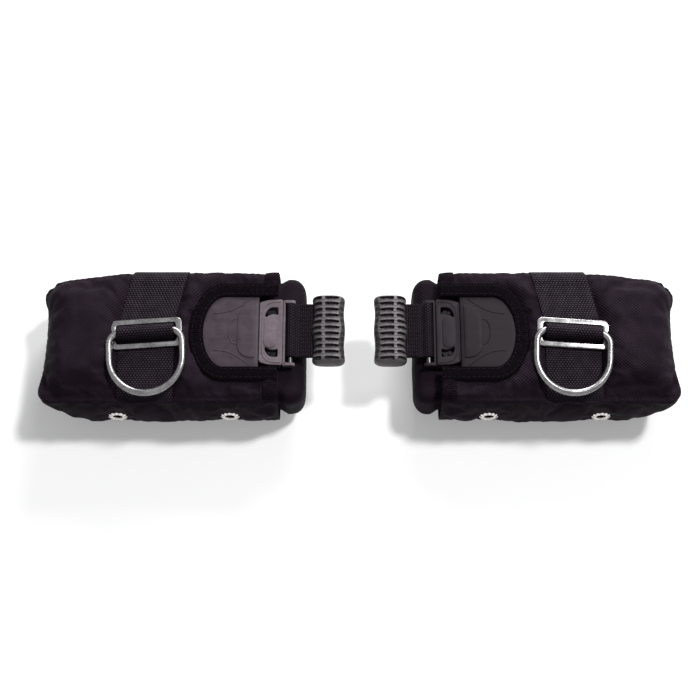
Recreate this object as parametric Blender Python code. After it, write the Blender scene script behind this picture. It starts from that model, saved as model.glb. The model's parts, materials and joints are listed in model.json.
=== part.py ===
"""A mirrored pair of quick-release dive weight pockets, lying on their backs.

Metres, +Z up out of the front panels, +X along the row, +Y towards the pockets' top edges.
Every piece is modelled once, for the right-hand pocket, with x measured outward from the plane midway
between the two grips. The left-hand pocket is the same set of meshes under an empty mirrored in x.
"""

import math

import bmesh
import bpy
from mathutils import Matrix, Vector

# Driving dimensions
GAP = 0.0003  # air left between pieces that touch
WEBBING_WIDTH = 0.050
WEBBING_THICK = 0.0016
HALF_SPACING = 0.0126  # mid-plane to the grip's near side

# Sleeve: the fabric pocket that stays on the waist belt
SLEEVE_X0 = 0.071
SLEEVE_X1 = 0.279
SLEEVE_HALF_Y = 0.0600
SLEEVE_Z0 = 0.008
SLEEVE_Z1 = 0.064
SLEEVE_WALL = 0.002
SLEEVE_CORNER = 0.009
SLEEVE_END_ROUND = 0.012
TOP_SLOPE_X0 = 0.190  # from here the top edge falls towards the closed end
TOP_SLOPE_DROP = 0.008

# Weight pouch: the bag that holds the lead and slides out with the handle
POUCH_X0 = 0.050
POUCH_X1 = 0.265
POUCH_HALF_Y = 0.0555
POUCH_Z0 = 0.0106
POUCH_Z1 = 0.0538
POUCH_WALL = 0.002
POUCH_CORNER = 0.010
LEAD_SIZE = Vector((0.084, 0.078, 0.036))
LEAD_EDGE = 0.004
LEAD_X = (0.106, 0.206)
LEAD_Y = -0.002
FLAP_THICK = 0.0025
FLAP_CLEAR = 0.0005

# Latch line: the receiver, latch and handle share this height on the front panel
LATCH_Y = 0.0022
WINDOW_HALF = 0.0347
WINDOW_X1 = 0.1389
TAPE_WIDTH = 0.0125
TAPE_INNER_HALF = 0.0327
TAPE_INNER_X1 = 0.1368
TAPE_Z0 = SLEEVE_Z1 + GAP
TAPE_THICK = 0.0015
TAPE_REACH_Y = 0.0560
END_OVAL = 0.64  # length of a tongue's oval end as a share of its half width
OVAL_STEPS = 14

RECEIVER_X0 = 0.0883
RECEIVER_X1 = 0.1382
RECEIVER_HALF = 0.0341
TRAY_Z0 = 0.0545
TRAY_FLOOR_Z = 0.0562
TRAY_Z1 = 0.0600
TRAY_HALF = 0.027
TRAY_X1 = 0.112
CATCH_X0 = 0.0960
CATCH_X1 = 0.1040
CATCH_DEPTH = 0.0032
COVER_Z0 = 0.0603
COVER_FLANGE_Z = 0.0617
COVER_Z1 = 0.0640
COVER_EDGE = 0.0014
FLANGE_X1 = 0.143
FLANGE_HALF = 0.0392

LATCH_X0 = 0.0674
LATCH_X1 = 0.0880
LATCH_HALF = 0.0308
LATCH_FLOOR_X0 = 0.0645
LATCH_FLOOR_X1 = 0.0860
LATCH_FLOOR_Z = (0.0543, 0.0560)
TONGUE_X1 = 0.097
TONGUE_HALF = 0.0160
TONGUE_Z = (0.0566, 0.0596)
TONGUE_ROOT_X0 = 0.080
TONGUE_ROOT_HALF = 0.008
PLATE_Z = (0.0609, 0.0634)
PLATE_LEG = 0.002
PLATE_LEG_X1 = 0.084
PLATE_EDGE = 0.0008
PLATE_WINDOW_X = (0.0715, 0.0835)
PLATE_WINDOW_Y = (0.0142, 0.0223)
WINDOW_CORNER = 0.0026

PRONG_Z = (0.0564, 0.0594)
PRONG_PIVOT_X = 0.079
PRONG_PIVOT_Y = 0.019
PRONG_OUTLINE = (
    (0.0705, 0.0132),
    (0.0705, 0.0170),
    (0.0755, 0.0225),
    (0.0820, 0.0248),
    (0.0966, 0.0248),
    (0.0966, 0.0294),
    (0.0990, 0.0294),
    (0.1055, 0.0240),
    (0.1055, 0.0202),
    (0.0840, 0.0196),
    (0.0775, 0.0150),
)
PIN_RADIUS = 0.0015
PIN_Z = (0.0563, 0.0606)
SPRING_ENDS_X = 0.1040
SPRING_MID_X = 0.0985
SPRING_HALF = 0.0192
SPRING_THICK = 0.0006

# Handle: bar, webbing and grip
BAR_X = 0.0605
BAR_Z = 0.0595
BAR_RADIUS = 0.0020
BAR_HALF = 0.0303
SLIDER_PLATE_X = (0.0660, 0.0800)
SLIDER_PLATE_HALF = 0.0125
SLIDER_PLATE_Z = (0.0597, 0.0606)
SLIDER_CROSS_X = (0.0652, 0.0670)
SLIDER_CROSS_Z = (0.0575, 0.0615)
SLIDER_CAM_X = (0.0705, 0.0760)
SLIDER_CAM_HALF = (0.0085, 0.0115)
EAR_X0 = 0.0565
EAR_Y = (0.0280, 0.0305)
EAR_Z_HALF = 0.0028
HANDLE_Y = LATCH_Y + 0.0024  # the webbing has slipped up along the bar
CORE_X = 0.0270
CORE_RADIUS = 0.0025
CORE_HALF = 0.024
PLY = 0.0015  # thickness of one layer of the doubled pull webbing
GRIP_X0 = HALF_SPACING
GRIP_WIDTH = 0.0290
GRIP_HALF_Y = 0.0320
GRIP_THICK = 0.0190
GRIP_SCALLOP = 0.0016
GRIP_END_SHARE = 0.14  # share of the half length in which each end rounds off
GRIP_END_FALL = 0.72
GRIP_SQUARENESS = 0.5
GRIP_MARGIN = 0.0045
GRIP_RING = 16
GRIP_STATIONS = 15
GROOVES = 11
GROOVE_PITCH = 0.0052
GROOVE_WIDTH = 0.0024
GROOVE_DEPTH = 0.0022
SPINE_WIDTH = 0.0030

# D-ring, slide and strap on the front panel
RING_X = 0.186
RING_BAR_Y = -0.001
RING_BAR_Z = 0.0734
RING_WIRE = 0.0060
RING_HALF_WIDTH = 0.0316  # to the wire's centre line
RING_LENGTH = 0.0550  # bar to the far point, centre lines
RING_BAR_CORNER = 0.0100
RING_SIDES_RESOLUTION = 2
RING_DROOP = math.radians(3.5)
RING_TILT = math.radians(4.0)  # the bar rises towards the middle of the pair
SLIDE_SIZE = Vector((0.063, 0.027, 0.003))
SLIDE_Z0 = 0.0662
SLIDE_SLOT = Vector((0.0520, 0.0065))
SLIDE_SLOT_Y = 0.00525
SLIDE_CORNER = 0.005
SLIDE_EDGE = 0.0007
STRAP_CENTRE_Z = SLEEVE_Z1 + GAP + WEBBING_THICK / 2
STRAP_RISE_Y = 0.0049  # strap centre line to ring centre line where it passes the slots
STRAP_BEND = 0.0026
STRAP_LEAN = math.tan(math.radians(12.0))
STRAP_HELD = 0.009  # the strap lies square to the ring this far from its bar
STRAP_FADE = 0.008  # and square to the pocket this much further out
STRAP_BACK_Z = 0.024

# Drain eyelets in the bottom gusset
EYELET_X = (0.114, 0.213)
EYELET_Z = 0.030
EYELET_FLANGE = 0.0082
EYELET_BORE = 0.0036
EYELET_BARREL = 0.0042
EYELET_CLEAR = 0.0046
EYELET_LIP = 0.0012
WASHER_THICK = 0.0008

# Belt loops on the back
LOOP_X = (0.115, 0.225)
LOOP_WIDTH = 0.040
LOOP_THICK = 0.0018
LOOP_FLAT_HALF = 0.0290
LOOP_FOOT_HALF = 0.0340
LOOP_END_HALF = 0.0430

ROUND_STEPS = 16

COLOURS = {
    "sleeve_fabric": ((0.020, 0.016, 0.021), 0.85, 0.0),
    "pouch_fabric": ((0.012, 0.010, 0.013), 0.90, 0.0),
    "webbing": ((0.016, 0.013, 0.017), 0.80, 0.0),
    "binding_tape": ((0.012, 0.010, 0.012), 0.85, 0.0),
    "stainless": ((0.62, 0.61, 0.60), 0.22, 1.0),
    "eyelet_metal": ((0.70, 0.69, 0.67), 0.35, 1.0),
    "receiver_plastic": ((0.080, 0.066, 0.078), 0.50, 0.0),
    "latch_plastic": ((0.150, 0.130, 0.142), 0.45, 0.0),
    "black_plastic": ((0.014, 0.013, 0.015), 0.40, 0.0),
    "grip_rubber": ((0.160, 0.145, 0.155), 0.60, 0.0),
    "lead": ((0.150, 0.155, 0.165), 0.60, 0.8),
}


def clear_scene():
    for obj in list(bpy.data.objects):
        bpy.data.objects.remove(obj, do_unlink=True)


def material(name):
    found = bpy.data.materials.get(name)
    if found:
        return found
    colour, roughness, metallic = COLOURS[name]
    made = bpy.data.materials.new(name)
    made.use_nodes = True
    shader = made.node_tree.nodes["Principled BSDF"]
    shader.inputs["Base Color"].default_value = (*colour, 1.0)
    shader.inputs["Roughness"].default_value = roughness
    shader.inputs["Metallic"].default_value = metallic
    return made


# Shape helpers. Each returns a mesh object at the origin, in the right-hand pocket's coordinates.


def object_from(bm, name):
    bmesh.ops.recalc_face_normals(bm, faces=bm.faces)
    mesh = bpy.data.meshes.new(name)
    bm.to_mesh(mesh)
    bm.free()
    obj = bpy.data.objects.new(name, mesh)
    bpy.context.scene.collection.objects.link(obj)
    return obj


def lofted(rings):
    """A closed solid through rings of equal length, with flat ends."""
    bm = bmesh.new()
    loops = [[bm.verts.new(point) for point in ring] for ring in rings]
    count = len(loops[0])
    for near, far in zip(loops, loops[1:]):
        for i in range(count):
            j = (i + 1) % count
            bm.faces.new((near[i], near[j], far[j], far[i]))
    bm.faces.new(loops[0])
    bm.faces.new(loops[-1])
    return object_from(bm, "solid")


def prism(outline, z0, z1):
    """An outline in x and y raised from z0 to z1."""
    return lofted([[(x, y, z) for x, y in outline] for z in (z0, z1)])


def side_prism(outline, y0, y1):
    """An outline in x and z carried from y0 to y1."""
    return lofted([[(x, y, z) for x, z in outline] for y in (y0, y1)])


def block(x, y, z):
    (x0, x1), (y0, y1), (z0, z1) = x, y, z
    return prism(((x0, y0), (x1, y0), (x1, y1), (x0, y1)), z0, z1)


def arc(centre, radius, start, end, steps):
    """Points on an arc from start to end degrees."""
    points = []
    for i in range(steps + 1):
        angle = math.radians(start + (end - start) * i / steps)
        points.append((centre[0] + radius * math.cos(angle), centre[1] + radius * math.sin(angle)))
    return points


def rounded_box(x, y, corner, steps=4):
    """An outline of a rectangle with round corners."""
    (x0, x1), (y0, y1) = x, y
    outline = arc((x1 - corner, y1 - corner), corner, 0, 90, steps)
    outline += arc((x0 + corner, y1 - corner), corner, 90, 180, steps)
    outline += arc((x0 + corner, y0 + corner), corner, 180, 270, steps)
    outline += arc((x1 - corner, y0 + corner), corner, 270, 360, steps)
    return outline


def cylinder(axis, centre, radius, low, high):
    """A round rod along axis 'y' or 'z', between low and high on that axis."""
    turns = [2 * math.pi * i / ROUND_STEPS for i in range(ROUND_STEPS)]
    circle = [(centre[0] + radius * math.cos(t), centre[1] + radius * math.sin(t)) for t in turns]
    return side_prism(circle, low, high) if axis == "y" else prism(circle, low, high)


def tongue_outline(x0, x1, half):
    """A tongue across the latch line: straight at x0, with an oval end at x1."""
    straight = x1 - END_OVAL * half
    outline = [(x0, LATCH_Y - half)]
    for i in range(OVAL_STEPS + 1):
        angle = math.pi * (i / OVAL_STEPS - 0.5)
        outline.append((straight + (x1 - straight) * math.cos(angle), LATCH_Y + half * math.sin(angle)))
    outline.append((x0, LATCH_Y + half))
    return outline


def ribbon(path, thickness):
    """The outline of a strip that follows a path of points in a plane."""
    near, far = [], []
    last = len(path) - 1
    for i, point in enumerate(path):
        before = Vector(path[max(i - 1, 0)])
        after = Vector(path[min(i + 1, last)])
        along = (after - before).normalized()
        across = Vector((-along.y, along.x)) * thickness / 2
        near.append(tuple(Vector(point) + across))
        far.append(tuple(Vector(point) - across))
    return near + far[::-1]


def baked(obj):
    """The object with its modifiers made part of its mesh."""
    graph = bpy.context.evaluated_depsgraph_get()
    graph.update()
    mesh = bpy.data.meshes.new_from_object(obj.evaluated_get(graph))
    obj.modifiers.clear()
    obj.data = mesh
    return obj


def combined(obj, operation, others):
    """The object after a Boolean with each of the others, which are used up."""
    for other in others:
        modifier = obj.modifiers.new(operation.lower(), "BOOLEAN")
        modifier.operation = operation
        modifier.object = other
        baked(obj)
        bpy.data.objects.remove(other, do_unlink=True)
    return obj


def cut(obj, *cutters):
    return combined(obj, "DIFFERENCE", cutters)


def joined(obj, *others):
    return combined(obj, "UNION", others)


def edges_rounded(obj, width, segments=1):
    """The object with its sharp edges rounded off."""
    modifier = obj.modifiers.new("edges", "BEVEL")
    modifier.width = width
    modifier.segments = segments
    modifier.limit_method = "ANGLE"
    modifier.angle_limit = math.radians(40)
    return baked(obj)


# Bags


def top_edge(x):
    """Height of the sleeve's top edge, which falls towards the closed end."""
    t = min(max((x - TOP_SLOPE_X0) / (SLEEVE_X1 - TOP_SLOPE_X0), 0.0), 1.0)
    return SLEEVE_HALF_Y - TOP_SLOPE_DROP * t * t * (3 - 2 * t)


def bag_ring(x, y, z, corner):
    """A round-cornered ring across x."""
    return [(x, py, pz) for py, pz in rounded_box(y, z, corner)]


def bag(x0, x1, half_y, z, corner, round0, round1, shrink=0.0):
    """A box-shaped bag along x, drawn in at the ends by the given radii and by shrink all round."""
    stations = {x0: round0, x1: round1}
    for end, radius, inward in ((x0, round0, 1), (x1, round1, -1)):
        for share in (0.12, 0.4, 1.0):
            if radius:
                stations[end + inward * radius * share] = radius * (1 - math.sqrt(1 - (1 - share) ** 2))
    for share in (0.5, 0.65, 0.8):
        stations[x0 + (x1 - x0) * share] = 0.0
    if not round0:
        stations[x0] = 0.0
    if not round1:
        stations[x1] = 0.0
    rings = []
    for x in sorted(stations):
        inset = stations[x] + shrink
        slope = SLEEVE_HALF_Y - top_edge(x)
        y_range = (-half_y + inset, half_y - slope - inset)
        z_range = (z[0] + inset, z[1] - inset)
        rings.append(bag_ring(x, y_range, z_range, max(corner - shrink, 0.002)))
    return lofted(rings)


def make_sleeve():
    z = (SLEEVE_Z0, SLEEVE_Z1)
    outer = bag(SLEEVE_X0, SLEEVE_X1, SLEEVE_HALF_Y, z, SLEEVE_CORNER, 0.0, SLEEVE_END_ROUND)
    hollow = bag(
        SLEEVE_X0 - SLEEVE_WALL,
        SLEEVE_X1 - SLEEVE_WALL,
        SLEEVE_HALF_Y,
        z,
        SLEEVE_CORNER,
        0.0,
        SLEEVE_END_ROUND,
        SLEEVE_WALL,
    )
    window_outline = tongue_outline(SLEEVE_X0 - SLEEVE_WALL, WINDOW_X1, WINDOW_HALF)
    window = prism(window_outline, SLEEVE_Z1 - 3 * SLEEVE_WALL, SLEEVE_Z1 + SLEEVE_WALL)
    drains = []
    for x in EYELET_X:
        low = -SLEEVE_HALF_Y - SLEEVE_WALL
        drains.append(cylinder("y", (x, EYELET_Z), EYELET_CLEAR, low, low + 3 * SLEEVE_WALL))
    return cut(outer, hollow, window, *drains)


def make_pouch():
    z = (POUCH_Z0, POUCH_Z1)
    outer = bag(POUCH_X0, POUCH_X1, POUCH_HALF_Y, z, POUCH_CORNER, POUCH_CORNER, 0.0)
    hollow = bag(
        POUCH_X0 + POUCH_WALL,
        POUCH_X1 + POUCH_WALL,
        POUCH_HALF_Y,
        z,
        POUCH_CORNER,
        POUCH_CORNER,
        0.0,
        POUCH_WALL,
    )
    return cut(outer, hollow)


def make_pouch_flap():
    margin = POUCH_WALL + FLAP_CLEAR
    x1 = POUCH_X1 - FLAP_CLEAR
    x0 = x1 - FLAP_THICK
    top = POUCH_HALF_Y - (SLEEVE_HALF_Y - top_edge(POUCH_X1)) - margin
    rings = []
    for x in (x0, x1):
        y_range = (-POUCH_HALF_Y + margin, top)
        z_range = (POUCH_Z0 + margin, POUCH_Z1 - margin)
        rings.append(bag_ring(x, y_range, z_range, POUCH_CORNER - margin))
    return lofted(rings)


def make_lead(x):
    half = LEAD_SIZE / 2
    z0 = POUCH_Z0 + POUCH_WALL + GAP
    obj = block((x - half.x, x + half.x), (LEAD_Y - half.y, LEAD_Y + half.y), (z0, z0 + LEAD_SIZE.z))
    return edges_rounded(obj, LEAD_EDGE, 2)


# Webbing and tape on the sleeve


def make_binding():
    inner = tongue_outline(SLEEVE_X0, TAPE_INNER_X1, TAPE_INNER_HALF)
    outer = tongue_outline(SLEEVE_X0 + TAPE_WIDTH, TAPE_INNER_X1 + TAPE_WIDTH, TAPE_INNER_HALF + TAPE_WIDTH)
    outline = [(SLEEVE_X0, -TAPE_REACH_Y), (SLEEVE_X0 + TAPE_WIDTH, -TAPE_REACH_Y)]
    outline += outer
    outline += [(SLEEVE_X0 + TAPE_WIDTH, TAPE_REACH_Y), (SLEEVE_X0, TAPE_REACH_Y)]
    outline += inner[::-1]
    return prism(outline, TAPE_Z0, TAPE_Z0 + TAPE_THICK)


def strap_path():
    """Centre line of the strap in y and z: up the front, over the ring's bar, and over the top edge."""
    corner = SLEEVE_CORNER + GAP + WEBBING_THICK / 2
    corner_z = SLEEVE_Z1 - SLEEVE_CORNER
    corner_y = SLEEVE_HALF_Y - SLEEVE_CORNER
    path = arc((-corner_y, corner_z), corner, 150, 90, 4)
    low_y = RING_BAR_Y - STRAP_RISE_Y
    high_y = RING_BAR_Y + STRAP_RISE_Y
    path += arc((low_y - STRAP_BEND, STRAP_CENTRE_Z + STRAP_BEND), STRAP_BEND, 270, 360, 4)
    path += arc((RING_BAR_Y, RING_BAR_Z), STRAP_RISE_Y, 180, 0, 10)
    path += arc((high_y + STRAP_BEND, STRAP_CENTRE_Z + STRAP_BEND), STRAP_BEND, 180, 270, 4)
    path += arc((corner_y, corner_z), corner, 90, 0, 5)
    path.append((SLEEVE_HALF_Y + GAP + WEBBING_THICK / 2, STRAP_BACK_Z))
    return path


def make_strap():
    half = WEBBING_WIDTH / 2 - 0.0005
    outline = ribbon(strap_path(), WEBBING_THICK)
    obj = lofted([[(RING_X + side * half, y, z) for y, z in outline] for side in (-1, 1)])
    slide_top = RING_BAR_Y + SLIDE_SIZE.y / 2
    for vertex in obj.data.vertices:
        across = vertex.co.x - RING_X
        from_bar = abs(vertex.co.y - RING_BAR_Y)
        held = 1.0 - min(max((from_bar - STRAP_HELD) / STRAP_FADE, 0.0), 1.0)
        climb = min(max(vertex.co.y - slide_top, 0.0), SLEEVE_HALF_Y - slide_top)
        vertex.co.y -= held * across * math.tan(RING_TILT)
        vertex.co.x -= climb * STRAP_LEAN
    return obj


def make_belt_loop(x):
    mid = LOOP_THICK / 2
    foot_z = SLEEVE_Z0 - GAP - mid
    path = [
        (-LOOP_END_HALF, foot_z),
        (-LOOP_FOOT_HALF, foot_z),
        (-LOOP_FOOT_HALF + 0.0015, foot_z - 0.001),
        (-LOOP_FLAT_HALF - 0.0015, mid + 0.001),
        (-LOOP_FLAT_HALF, mid),
    ]
    path += [(-y, z) for y, z in path[::-1]]
    outline = ribbon(path, LOOP_THICK)
    half = LOOP_WIDTH / 2
    obj = lofted([[(x + side * half, y, z) for y, z in outline] for side in (-1, 1)])
    for vertex in obj.data.vertices:
        vertex.co.z = max(vertex.co.z, 0.0)
    return obj


# Ring and slide


def tilted(obj):
    """The object turned about the vertical through the ring's bar, as the slide lies on the strap."""
    centre = Vector((RING_X, RING_BAR_Y, 0.0))
    turn = Matrix.Translation(centre) @ Matrix.Rotation(-RING_TILT, 4, "Z") @ Matrix.Translation(-centre)
    obj.data.transform(turn)
    return obj


def make_slide():
    half = SLIDE_SIZE / 2
    x = (RING_X - half.x, RING_X + half.x)
    y = (RING_BAR_Y - half.y, RING_BAR_Y + half.y)
    obj = prism(rounded_box(x, y, SLIDE_CORNER, 4), SLIDE_Z0, SLIDE_Z0 + SLIDE_SIZE.z)
    slots = []
    for side in (-1, 1):
        centre_y = RING_BAR_Y + side * SLIDE_SLOT_Y
        slot_x = (RING_X - SLIDE_SLOT.x / 2, RING_X + SLIDE_SLOT.x / 2)
        slot_y = (centre_y - SLIDE_SLOT.y / 2, centre_y + SLIDE_SLOT.y / 2)
        outline = rounded_box(slot_x, slot_y, 0.0016, 2)
        slots.append(prism(outline, SLIDE_Z0 - 0.001, SLIDE_Z0 + SLIDE_SIZE.z + 0.001))
    cut(obj, *slots)
    return tilted(edges_rounded(obj, SLIDE_EDGE))


def ring_path():
    """Centre line of the D-ring in its own plane, bar along x at y = 0, bow towards -y."""
    bow = RING_HALF_WIDTH
    bow_y = -(RING_LENGTH - bow)
    corner = RING_BAR_CORNER
    path = arc((RING_HALF_WIDTH - corner, -corner), corner, 90, 0, 5)
    path += arc((0.0, bow_y), bow, 0, -180, 16)
    path += arc((-RING_HALF_WIDTH + corner, -corner), corner, 180, 90, 5)
    return path


def make_ring():
    curve = bpy.data.curves.new("ring", "CURVE")
    curve.dimensions = "3D"
    curve.bevel_depth = RING_WIRE / 2
    curve.bevel_resolution = RING_SIDES_RESOLUTION
    path = ring_path()
    spline = curve.splines.new("POLY")
    spline.points.add(len(path) - 1)
    spline.use_cyclic_u = True
    for point, (x, y) in zip(spline.points, path):
        point.co = (x, y, 0.0, 1.0)
    source = bpy.data.objects.new("ring_wire", curve)
    bpy.context.scene.collection.objects.link(source)
    graph = bpy.context.evaluated_depsgraph_get()
    mesh = bpy.data.meshes.new_from_object(source.evaluated_get(graph))
    bpy.data.objects.remove(source, do_unlink=True)
    obj = bpy.data.objects.new("ring", mesh)
    bpy.context.scene.collection.objects.link(obj)
    droop = Matrix.Rotation(RING_DROOP, 4, "X")
    obj.data.transform(Matrix.Translation((RING_X, RING_BAR_Y, RING_BAR_Z)) @ droop)
    return tilted(obj)


# Eyelets


def turned(x, profile):
    """A ring turned about the drain's axis from a closed profile of radius and y."""
    rings = []
    for i in range(ROUND_STEPS):
        angle = 2 * math.pi * i / ROUND_STEPS
        rings.append([(x + r * math.cos(angle), y, EYELET_Z + r * math.sin(angle)) for r, y in profile])
    bm = bmesh.new()
    loops = [[bm.verts.new(point) for point in ring] for ring in rings]
    for near, far in zip(loops, loops[1:] + loops[:1]):
        for i in range(len(profile)):
            j = (i + 1) % len(profile)
            bm.faces.new((near[i], near[j], far[j], far[i]))
    return object_from(bm, "turned")


def make_eyelet(x):
    face = -SLEEVE_HALF_Y - GAP
    inside = -SLEEVE_HALF_Y + SLEEVE_WALL + GAP + WASHER_THICK
    profile = (
        (EYELET_BORE, inside),
        (EYELET_BORE, face - 0.6 * EYELET_LIP),
        (EYELET_BARREL + 0.0008, face - EYELET_LIP),
        (EYELET_FLANGE - 0.0012, face - 0.8 * EYELET_LIP),
        (EYELET_FLANGE, face),
        (EYELET_BARREL, face),
        (EYELET_BARREL, inside),
    )
    return turned(x, profile)


def make_washer(x):
    low = -SLEEVE_HALF_Y + SLEEVE_WALL + GAP
    inner = EYELET_BARREL + GAP
    outer = EYELET_FLANGE - 0.0004
    profile = ((inner, low), (outer, low), (outer, low + WASHER_THICK), (inner, low + WASHER_THICK))
    return turned(x, profile)


# Receiver and latch


def make_receiver_base():
    obj = prism(tongue_outline(RECEIVER_X0, RECEIVER_X1, RECEIVER_HALF), TRAY_Z0, TRAY_Z1)
    over = TRAY_Z1 + 0.001
    cavity = block(
        (RECEIVER_X0 - 0.001, TRAY_X1),
        (LATCH_Y - TRAY_HALF, LATCH_Y + TRAY_HALF),
        (TRAY_FLOOR_Z, over),
    )
    reach = TRAY_HALF + CATCH_DEPTH
    catches = block((CATCH_X0, CATCH_X1), (LATCH_Y - reach, LATCH_Y + reach), (TRAY_FLOOR_Z, over))
    return cut(obj, joined(cavity, catches))


def make_receiver_cover():
    flange = tongue_outline(RECEIVER_X0, FLANGE_X1, FLANGE_HALF)
    body = tongue_outline(RECEIVER_X0, RECEIVER_X1, RECEIVER_HALF)
    face = tongue_outline(RECEIVER_X0, RECEIVER_X1 - COVER_EDGE, RECEIVER_HALF - COVER_EDGE)
    tiers = (
        (flange, COVER_Z0),
        (flange, COVER_FLANGE_Z),
        (body, COVER_FLANGE_Z + GAP),
        (body, COVER_Z1 - COVER_EDGE),
        (face, COVER_Z1),
    )
    return lofted([[(x, y, z) for x, y in outline] for outline, z in tiers])


def across_latch(half):
    return (LATCH_Y - half, LATCH_Y + half)


def across_handle(half):
    return (HANDLE_Y - half, HANDLE_Y + half)


def make_latch_body():
    floor = block((LATCH_FLOOR_X0, LATCH_FLOOR_X1), across_latch(LATCH_HALF), LATCH_FLOOR_Z)
    root_z = (LATCH_FLOOR_Z[0], TONGUE_Z[1])
    root = block((TONGUE_ROOT_X0, LATCH_FLOOR_X1), across_latch(TONGUE_ROOT_HALF), root_z)
    tongue = block((TONGUE_ROOT_X0 + 0.003, TONGUE_X1), across_latch(TONGUE_HALF), TONGUE_Z)
    return joined(floor, root, tongue)


def make_latch_cover():
    outline = rounded_box((LATCH_X0, LATCH_X1), across_latch(LATCH_HALF), 0.0022, 3)
    obj = prism(outline, *PLATE_Z)
    edges_rounded(obj, PLATE_EDGE)
    for side in (-1, 1):
        low, high = sorted(LATCH_Y + side * (LATCH_HALF - inset) for inset in (0.0004, PLATE_LEG))
        leg_z = (LATCH_FLOOR_Z[1] + GAP, PLATE_Z[0] + 0.001)
        joined(obj, block((LATCH_X0 + 0.001, PLATE_LEG_X1), (low, high), leg_z))
        low, high = sorted(LATCH_Y + side * y for y in PLATE_WINDOW_Y)
        hole = rounded_box(PLATE_WINDOW_X, (low, high), WINDOW_CORNER, 3)
        cut(obj, prism(hole, PLATE_Z[0] - 0.001, PLATE_Z[1] + 0.001))
    return obj


def make_prong(side):
    outline = [(x, LATCH_Y + side * y) for x, y in PRONG_OUTLINE]
    obj = prism(outline, *PRONG_Z)
    centre = (PRONG_PIVOT_X, LATCH_Y + side * PRONG_PIVOT_Y)
    return cut(obj, cylinder("z", centre, PIN_RADIUS + GAP, PRONG_Z[0] - 0.001, PRONG_Z[1] + 0.001))


def make_prong_pin(side):
    centre = (PRONG_PIVOT_X, LATCH_Y + side * PRONG_PIVOT_Y)
    return cylinder("z", centre, PIN_RADIUS, *PIN_Z)


def make_prong_spring():
    path = []
    for i in range(13):
        y = SPRING_HALF * (i / 6 - 1)
        x = SPRING_MID_X + (SPRING_ENDS_X - SPRING_MID_X) * (y / SPRING_HALF) ** 2
        path.append((x, LATCH_Y + y))
    return prism(ribbon(path, SPRING_THICK), PRONG_Z[0] + 0.0006, PRONG_Z[1] - 0.0006)


def make_slider():
    plate = block(SLIDER_PLATE_X, across_latch(SLIDER_PLATE_HALF), SLIDER_PLATE_Z)
    cross = block(SLIDER_CROSS_X, across_latch(EAR_Y[1]), SLIDER_CROSS_Z)
    near, far = SLIDER_CAM_HALF
    cam_outline = [
        (SLIDER_CAM_X[0], LATCH_Y - near),
        (SLIDER_CAM_X[1], LATCH_Y - far),
        (SLIDER_CAM_X[1], LATCH_Y + far),
        (SLIDER_CAM_X[0], LATCH_Y + near),
    ]
    cam = prism(cam_outline, PRONG_Z[0], SLIDER_PLATE_Z[0] + 0.0004)
    joined(plate, cross, cam)
    ear_x = (EAR_X0, SLIDER_CROSS_X[1])
    ear_outline = rounded_box(ear_x, (BAR_Z - EAR_Z_HALF, BAR_Z + EAR_Z_HALF), EAR_Z_HALF * 0.95, 4)
    for side in (-1, 1):
        low, high = sorted(LATCH_Y + side * y for y in EAR_Y)
        joined(plate, side_prism(ear_outline, low, high))
        cut(plate, cylinder("y", (BAR_X, BAR_Z), BAR_RADIUS + GAP, low - 0.001, high + 0.001))
    return plate


def make_bar():
    return cylinder("y", (BAR_X, BAR_Z), BAR_RADIUS, *across_latch(BAR_HALF))


def pull_webbing_outline(extra=0.0):
    """The doubled webbing seen along y: an eye round the core, two plies together, an eye round the bar."""
    half = PLY + extra
    core_eye = CORE_RADIUS + GAP + PLY + extra
    bar_eye = BAR_RADIUS + GAP + PLY + extra
    core_angle = math.degrees(math.asin(half / core_eye))
    bar_angle = math.degrees(math.asin(half / bar_eye))
    outline = arc((CORE_X, BAR_Z), core_eye, core_angle, 360 - core_angle, 12)
    outline += arc((BAR_X, BAR_Z), bar_eye, 180 + bar_angle, 540 - bar_angle, 12)
    return outline


def make_pull_webbing():
    obj = side_prism(pull_webbing_outline(), *across_handle(WEBBING_WIDTH / 2))
    over = WEBBING_WIDTH / 2 + 0.001
    core_hole = cylinder("y", (CORE_X, BAR_Z), CORE_RADIUS + GAP, *across_handle(over))
    bar_hole = cylinder("y", (BAR_X, BAR_Z), BAR_RADIUS + GAP, *across_handle(over))
    return cut(obj, core_hole, bar_hole)


def make_core():
    return cylinder("y", (CORE_X, BAR_Z), CORE_RADIUS, *across_handle(CORE_HALF))


def grip_ring(y):
    """One section of the grip: a soft-cornered oblong, waisted twice along its length."""
    t = y / GRIP_HALF_Y
    rounding = max(abs(t) - (1.0 - GRIP_END_SHARE), 0.0) / GRIP_END_SHARE
    end = math.sqrt(1.0 - GRIP_END_FALL * rounding**2)
    waist = GRIP_SCALLOP * (0.5 - 0.5 * math.cos(2 * math.pi * t))
    half_x = (GRIP_WIDTH / 2 - waist) * (0.4 + 0.6 * end)
    half_z = GRIP_THICK / 2 * end
    centre_x = GRIP_X0 + GRIP_WIDTH / 2
    ring = []
    for i in range(GRIP_RING):
        angle = 2 * math.pi * i / GRIP_RING
        cosine, sine = math.cos(angle), math.sin(angle)
        x = half_x * math.copysign(abs(cosine) ** GRIP_SQUARENESS, cosine)
        z = half_z * math.copysign(abs(sine) ** GRIP_SQUARENESS, sine)
        ring.append((centre_x + x, HANDLE_Y + y, BAR_Z + z))
    return ring


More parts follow.
